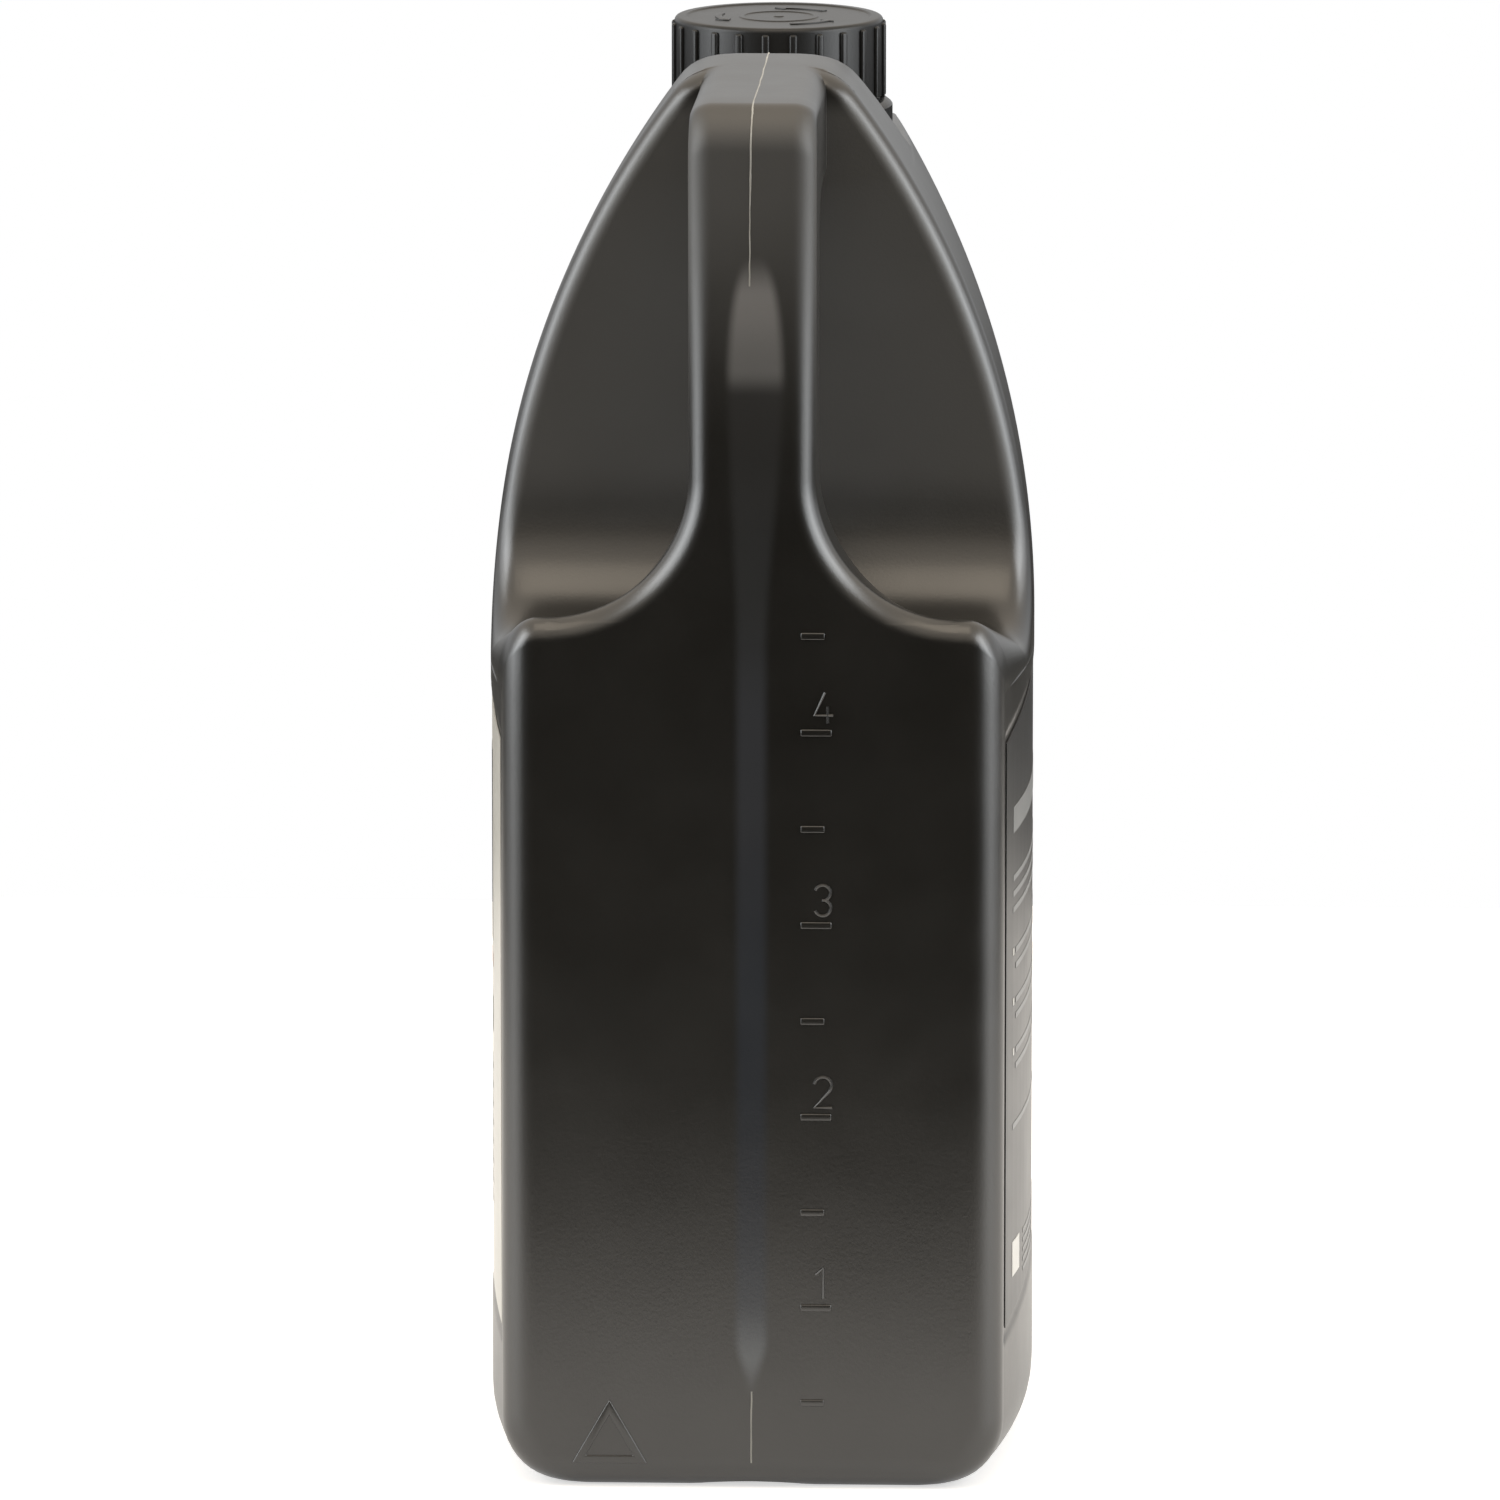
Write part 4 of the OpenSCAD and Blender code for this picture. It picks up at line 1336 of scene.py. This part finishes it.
@dataclass
class Cap:
    """The ribbed screw cap and its tamper ring, in millimetres."""

    low: float = 295.6
    high: float = 314.0
    skirt_r: float = 24.2
    bore_r: float = 22.8
    top_wall: float = 1.7
    edge_r: float = 1.1
    rib_count: int = 24
    rib_w: float = 1.8
    rib_h: float = 0.8
    rib_phase: float = -5.0
    rib_top: float = 1.4
    ring_low: float = 289.3
    ring_high: float = 294.7
    ring_r: float = 26.4
    ring_top_r: float = 25.0
    ring_lip_r: float = 21.8
    ring_bore_r: float = 23.2
    ring_lip: float = 1.3
    bridge_count: int = 12

    def build_cap(self, plastic: bpy.types.Material) -> bpy.types.Object:
        """Build the cap's shell with a rounded edge and a shallow dished top."""
        e, r, b = self.edge_r, self.skirt_r, self.bore_r
        turn = np.radians(np.linspace(0, 90, 6))
        profile = [(b, self.low + 0.4), (b + 0.4, self.low), (r - 0.25, self.low), (r, self.low + 0.25)]
        profile += [(r - e + e * math.cos(a), self.high - e + e * math.sin(a)) for a in turn]
        profile += [(r - 2.6, self.high), (r - 3.1, self.high - 0.3), (9.4, self.high - 0.3)]
        profile += [(9.1, self.high - 0.1), (8.2, self.high - 0.1), (7.9, self.high - 0.3)]
        profile += [(1.3, self.high - 0.3), (1.0, self.high - 0.1), (0.0, self.high - 0.1)]
        under = self.high - self.top_wall
        profile += [(0.0, under), (b - 0.5, under), (b, under - 0.5)]
        cap = lathe("cap_shell", profile, 144, NECK_Y)
        shade(cap, 30.0)
        return dress(cap, plastic, Body.CAP, ("screw_cap",))

    def build_ribs(self, plastic: bpy.types.Material, tool: NodeTool) -> bpy.types.Object:
        """Build the grip ribs round the skirt."""
        half, out = self.rib_w / 2, self.skirt_r + self.rib_h
        root = self.skirt_r - 0.5
        low, high = self.low + 0.1, self.high - self.rib_top
        ribs = block("cap_ribs", (root, out), (-half, half), (low, high))
        soften(ribs, 0.55, 4)
        tool.apply(
            ribs,
            plastic,
            Count=self.rib_count,
            Phase=math.radians(self.rib_phase),
            Axis=(0.0, NECK_Y * MM, 0.0),
        )
        shade(ribs, 50.0)
        return dress(ribs, plastic, Body.CAP)

    def build_arrows(self, plastic: bpy.types.Material, tool: NodeTool) -> bpy.types.Object:
        """Build the raised turning arrows on the cap's top."""
        r0, r1, tip = 13.2, 14.8, 2.4
        start, end = math.radians(20), math.radians(62)
        turn = np.linspace(start, end, 14)
        flat = [(r0, a) for a in turn] + [(r0 - tip / 2, end), ((r0 + r1) / 2, end + 0.2)]
        flat += [(r1 + tip / 2, end)] + [(r1, a) for a in turn[::-1]]
        verts = [
            (r * math.cos(a), r * math.sin(a), z)
            for z in (self.high - 0.6, self.high - 0.02)
            for r, a in flat
        ]
        n = len(flat)
        faces = [tuple(range(n - 1, -1, -1)), tuple(range(n, 2 * n))]
        faces += [(k, (k + 1) % n, n + (k + 1) % n, n + k) for k in range(n)]
        arrows = mesh_object("cap_arrows", np.array(verts), faces)
        tidy_mesh(arrows)
        soften(arrows, 0.1, 2)
        tool.apply(arrows, plastic, Count=3, Phase=0.4, Axis=(0.0, NECK_Y * MM, 0.0))
        shade(arrows)
        return dress(arrows, plastic, Body.CAP)

    def build_cap_thread(self, plastic: bpy.types.Material, tool: NodeTool) -> bpy.types.Object:
        """Build the thread inside the cap's skirt."""
        thread = mesh_object("cap_thread", np.zeros((1, 3)), [])
        turns = 1.2
        tool.apply(
            thread,
            plastic,
            Turns=turns,
            Radius=(self.bore_r + 0.1) * MM,
            Rise=turns * THREAD_LEAD * MM,
            Thick=0.8 * MM,
            Base=(0.0, NECK_Y * MM, (self.low + 1.9 + THREAD_LEAD / 2) * MM),
        )
        shade(thread)
        return dress(thread, plastic, Body.CAP)

    def build_ring(self, plastic: bpy.types.Material) -> bpy.types.Object:
        """Build the tamper ring that stays on the neck."""
        low, high, r = self.ring_low, self.ring_high, self.ring_r
        profile = [(self.ring_lip_r, low), (r - 0.3, low), (r, low + 0.3), (r, high - 1.3)]
        profile += [(r - 0.25, high - 0.9), (self.ring_top_r + 0.15, high - 0.1)]
        profile += [(self.ring_top_r - 0.1, high), (self.ring_bore_r, high)]
        profile += [(self.ring_bore_r, low + self.ring_lip), (self.ring_lip_r, low + self.ring_lip)]
        ring = lathe("tamper_band", profile, 144, NECK_Y)
        shade(ring, 30.0)
        return dress(ring, plastic, Body.BOTTLE, ("tamper_ring",))

    def build_bridges(self, plastic: bpy.types.Material, tool: NodeTool) -> bpy.types.Object:
        """Build the thin bridges that held the ring to the cap."""
        x0, x1, half = self.ring_bore_r + 0.3, self.ring_top_r - 0.4, 0.45
        low, high = self.ring_high - 0.4, self.low - 0.12
        bridges = block("ring_bridges", (x0, x1), (-half, half), (low, high))
        soften(bridges, 0.12, 2)
        tool.apply(bridges, plastic, Count=self.bridge_count, Phase=0.1, Axis=(0.0, NECK_Y * MM, 0.0))
        shade(bridges)
        return dress(bridges, plastic, Body.BOTTLE)


@dataclass
class Labels:
    """The printed fields on the two label films, in millimetres."""

    film_x: float = 61.25
    film_at: float = -30.0
    ahead_r: float = 340.0
    behind_r: float = 800.0
    lift: float = 0.02
    thick: float = 0.05

    def bar(self, name: str, length: float, height: float) -> bpy.types.Object:
        """Build a flat bar along y, starting at the origin, with enough points to bend."""
        steps = max(2, int(length / 4))
        rows = [(y, z) for z in (0.0, height) for y in np.linspace(0, length, steps + 1)]
        verts = [(x, y, z) for x in (0.0, self.thick) for y, z in rows]
        n, m = steps + 1, 2 * (steps + 1)
        faces = []
        for k in range(steps):
            faces += [(m + k, m + k + 1, m + n + k + 1, m + n + k), (k, n + k, n + k + 1, k + 1)]
            faces += [(k, k + 1, m + k + 1, m + k), (n + k, m + n + k, m + n + k + 1, n + k + 1)]
        faces += [(0, m, m + n, n), (n - 1, m - 1, 2 * m - 1, m + n - 1)]
        piece = mesh_object(name, np.array(verts), faces)
        tidy_mesh(piece)
        return piece

    def rows(
        self,
        name: str,
        side: Side,
        ink: bpy.types.Material,
        tool: NodeTool,
        start: tuple[float, float],
        size: tuple[float, float],
        count: int = 1,
        pitch: float = 5.0,
        shortest: float = 1.0,
        seed: int = 1,
    ) -> bpy.types.Object:
        """Set printed bars on a film.

        Args:
            name: The piece's name.
            side: The broad side that carries the film.
            ink: The ink's material.
            tool: The tree that sets rows on a curved film.
            start: Place along the jug and height of the first bar.
            size: Length and height of a bar.
            count: Number of rows.
            pitch: Distance between rows.
            shortest: Share of the length that the shortest row has.
            seed: Seed of the lengths.

        Returns:
            The dressed piece.
        """
        piece = self.bar(name, *size)
        tool.apply(
            piece,
            ink,
            Rows=count,
            Pitch=pitch * MM,
            Start=(self.lift * MM, start[0] * MM, start[1] * MM),
            Shortest=shortest,
            Seed=seed,
            Film=self.film_x * MM,
            Axis=self.film_at * MM,
            Ahead=self.ahead_r * MM,
            Behind=self.behind_r * MM,
            Sign=float(side.value),
        )
        tidy_mesh(piece)
        return dress(piece, ink, Body.BOTTLE)

    def build_pale(self, inks: dict[str, bpy.types.Material], tool: NodeTool) -> None:
        """Print the pale film: a dark field, a red line and rows of grey bars."""
        side = Side.PALE
        self.rows("pale_field", side, inks["dark"], tool, (-58.0, 118.0), (116.0, 44.0))
        self.rows("pale_line", side, inks["red"], tool, (-58.0, 112.0), (116.0, 3.0))
        self.rows("pale_title", side, inks["dark"], tool, (-58.0, 97.0), (70.0, 8.0))
        self.rows("pale_text", side, inks["grey"], tool, (-58.0, 88.0), (92.0, 1.6), 8, 4.4, 0.62, 3)
        self.rows("pale_size", side, inks["red"], tool, (34.0, 50.0), (24.0, 16.0))

    def build_dark(self, inks: dict[str, bpy.types.Material], tool: NodeTool) -> None:
        """Print the dark film: a grey title bar, rows of small bars and a pale square."""
        side = Side.DARK
        self.rows("dark_title", side, inks["grey"], tool, (-76.0, 147.0), (84.0, 6.0))
        self.rows("dark_intro", side, inks["grey"], tool, (-76.0, 136.0), (140.0, 1.3), 3, 3.6, 0.8, 11)
        for k, z in enumerate((119.0, 107.5, 96.0)):
            self.rows(f"dark_point_{k}", side, inks["pale"], tool, (-76.0, z), (1.6, 1.6))
            item, at, size = f"dark_item_{k}", (-72.0, z), (120.0, 1.3)
            self.rows(item, side, inks["grey"], tool, at, size, 2, 3.6, 0.7, 20 + k)
        self.rows("dark_note", side, inks["grey"], tool, (-76.0, 79.0), (60.0, 1.3))
        self.rows("dark_square", side, inks["pale"], tool, (-76.0, 45.0), (11.0, 8.0))
        self.rows("dark_small", side, inks["grey"], tool, (-58.0, 51.5), (112.0, 0.9), 5, 2.2, 0.75, 31)


@dataclass
class Studio:
    """Floor, lights and camera."""

    target: tuple[float, float, float] = (0.0, 0.0, 0.157)
    distance: float = 3.5
    yaw: float = 2.35
    elevation: float = 10.34
    focal_px: float = 15235.0
    frame_px: float = 1500.0
    target_px: tuple[float, float] = (768.4, 727.8)
    sensor: float = 36.0
    table_near: float = -310.0
    table_far: float = 600.0
    table_side: float = 600.0
    dark_room: tuple[float, float, float, float] = (0.02, 0.019, 0.017, 1.0)
    pale_room: tuple[float, float, float, float] = (0.75, 0.76, 0.77, 1.0)
    ceiling: tuple[float, float, float, float] = (1.1, 0.98, 0.83, 1.0)
    floor_sheen: float = 0.45
    floor_white: float = 0.6
    cool: tuple[float, float, float] = (0.95, 0.98, 1.0)
    warm: tuple[float, float, float] = (1.0, 0.87, 0.7)
    side_size: tuple[float, float] = (0.9, 1.1)
    side_place: tuple[float, float, float] = (1.1, -0.1, 0.5)
    side_power: float = 6.0
    glint_place: tuple[float, float, float] = (1.1, -0.5, 0.53)
    glint_power: float = 11.0
    top_size: tuple[float, float] = (1.0, 1.0)
    top_place: tuple[float, float, float] = (0.0, -0.35, 1.6)
    top_power: float = 4.2

    def build_floor(self) -> bpy.types.Object:
        """Build the pale table top, which ends a short way in front of the jug."""
        near, far, side = self.table_near, self.table_far, self.table_side
        corners = [(-side, near, 0.0), (side, near, 0.0), (side, far, 0.0), (-side, far, 0.0)]
        floor = mesh_object("floor", np.array(corners), [(0, 1, 2, 3)])
        made = bpy.data.materials.new("pale_floor")
        made.use_nodes = True
        graph = Graph(made.node_tree)
        shader = made.node_tree.nodes["Principled BSDF"]
        shader.inputs["Base Color"].default_value = (0.8, 0.8, 0.8, 1.0)
        shader.inputs["Roughness"].default_value = 0.9
        shader.inputs["Specular IOR Level"].default_value = 0.1
        shader.inputs["Emission Color"].default_value = (1.0, 1.0, 1.0, 1.0)
        ray = graph.add("ShaderNodeLightPath").outputs
        glow = graph.math("MULTIPLY", ray["Is Glossy Ray"], self.floor_sheen)
        white = graph.math("MULTIPLY", ray["Is Camera Ray"], self.floor_white)
        glow = graph.math("ADD", glow, white)
        graph.tree.links.new(glow, shader.inputs["Emission Strength"])
        floor.data.materials.append(made)
        return floor

    def build_world(self) -> None:
        """Light the room: white where the camera looks, dark low down and in front, warm overhead."""
        world = bpy.data.worlds.new("studio")
        bpy.context.scene.world = world
        world.use_nodes = True
        graph = Graph(world.node_tree)
        back = world.node_tree.nodes["Background"]
        direction = graph.add("ShaderNodeTexCoord").outputs["Generated"]
        axes = graph.add("ShaderNodeSeparateXYZ", {0: direction}).outputs
        room = graph.mix(graph.ramp(axes["Y"], -0.7, 0.3), self.dark_room, self.pale_room)
        room = graph.mix(graph.ramp(axes["Z"], 0.02, -0.12), room, self.dark_room)
        room = graph.mix(graph.ramp(axes["Z"], 0.08, 0.75), room, self.ceiling)
        ray = graph.add("ShaderNodeLightPath").outputs
        colour = graph.mix(ray["Is Camera Ray"], room, (1.0, 1.0, 1.0, 1.0))
        graph.tree.links.new(colour, back.inputs["Color"])

    def softbox(
        self,
        name: str,
        place: tuple[float, float, float],
        size: tuple[float, float],
        power: float,
        colour: tuple[float, float, float],
        glint_only: bool = False,
    ) -> None:
        """Hang a softbox that faces the jug.

        Args:
            name: The light's name.
            place: Where it hangs, in metres.
            size: Its width and height.
            power: Its power in watts.
            colour: Its colour.
            glint_only: Whether it shows only as a reflection and leaves matt surfaces as they are.
        """
        light = bpy.data.lights.new(name, "AREA")
        light.shape = "RECTANGLE"
        light.size, light.size_y = size
        light.energy = power
        light.color = colour
        lamp = bpy.data.objects.new(name, light)
        bpy.context.scene.collection.objects.link(lamp)
        lamp.location = place
        lamp.visible_diffuse = not glint_only
        aim = Vector(self.target) - Vector(place)
        lamp.rotation_euler = aim.to_track_quat("-Z", "Y").to_euler()

    def build_lights(self) -> None:
        """Hang the softboxes: a pair that lights each side, a pair that only glints, and one on top."""
        for side, name in ((-1.0, "left"), (1.0, "right")):
            x, y, z = self.side_place
            self.softbox(f"{name}_box", (side * x, y, z), self.side_size, self.side_power, self.cool)
            x, y, z = self.glint_place
            place = (side * x, y, z)
            self.softbox(f"{name}_glint", place, self.side_size, self.glint_power, self.cool, True)
        self.softbox("top_box", self.top_place, self.top_size, self.top_power, self.warm)

    def build_camera(self) -> None:
        """Set the camera to the photograph's viewing angle."""
        yaw, rise = math.radians(self.yaw), math.radians(self.elevation)
        away = Vector(
            (math.sin(yaw) * math.cos(rise), -math.cos(yaw) * math.cos(rise), math.sin(rise))
        )
        right = Vector((math.cos(yaw), math.sin(yaw), 0.0))
        up = away.cross(right)
        scale = self.distance / self.focal_px
        middle = self.frame_px / 2
        centre = Vector(self.target) - right * (self.target_px[0] - middle) * scale
        centre -= up * (middle - self.target_px[1]) * scale
        data = bpy.data.cameras.new("camera")
        data.sensor_width = self.sensor
        data.lens = self.focal_px / self.frame_px * self.sensor
        data.clip_end = 50.0
        camera = bpy.data.objects.new("camera", data)
        bpy.context.scene.collection.objects.link(camera)
        turn = Matrix((right, up, away)).transposed().to_4x4()
        camera.matrix_world = Matrix.Translation(centre + away * self.distance) @ turn
        bpy.context.scene.camera = camera

    def build(self) -> None:
        """Build everything that isn't the jug."""
        self.build_floor()
        self.build_world()
        self.build_lights()
        self.build_camera()
        bpy.context.scene.view_settings.view_transform = "Standard"


def keep_node(name: str, material: bpy.types.Material) -> None:
    """Give a CAD node that stays its material."""
    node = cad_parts[name]
    node.data.materials.clear()
    node.data.materials.append(material)
    LOG.info("%s: packed solid kept", name)


def main() -> None:
    """Build the jug's looks in order and report each piece."""
    logging.basicConfig(level=logging.INFO, format="%(name)s: %(message)s")
    Studio().build()
    body = BODY_PLASTIC.material()
    flash = FLASH_PLASTIC.material()
    cap_plastic = CAP_PLASTIC.material()
    copies, helix = ring_tool(), helix_tool()
    jug = Jug()
    jug.build_skin(body)
    jug.build_thread(body, helix)
    jug.build_marks(body, ladder_tool())
    jug.build_digits(body)
    jug.build_triangle(body)
    jug.build_flash(flash, bead_tool())
    cap = Cap()
    cap.build_cap(cap_plastic)
    cap.build_ribs(cap_plastic, copies)
    cap.build_arrows(cap_plastic, copies)
    cap.build_cap_thread(cap_plastic, helix)
    cap.build_ring(cap_plastic)
    cap.build_bridges(cap_plastic, copies)
    inks = {
        "pale": PALE_INK.material(),
        "grey": GREY_INK.material(),
        "dark": DARK_INK.material(),
        "red": RED_INK.material(),
    }
    labels, rows = Labels(), print_tool()
    labels.build_pale(inks, rows)
    labels.build_dark(inks, rows)
    keep_node("front_label", PALE_FILM.material())
    keep_node("back_label", DARK_FILM.material())
    keep_node("cap_liner", LINER_FOAM.material())
    keep_node("fluid", RED_OIL.material())


if __name__ == "__main__":
    main()
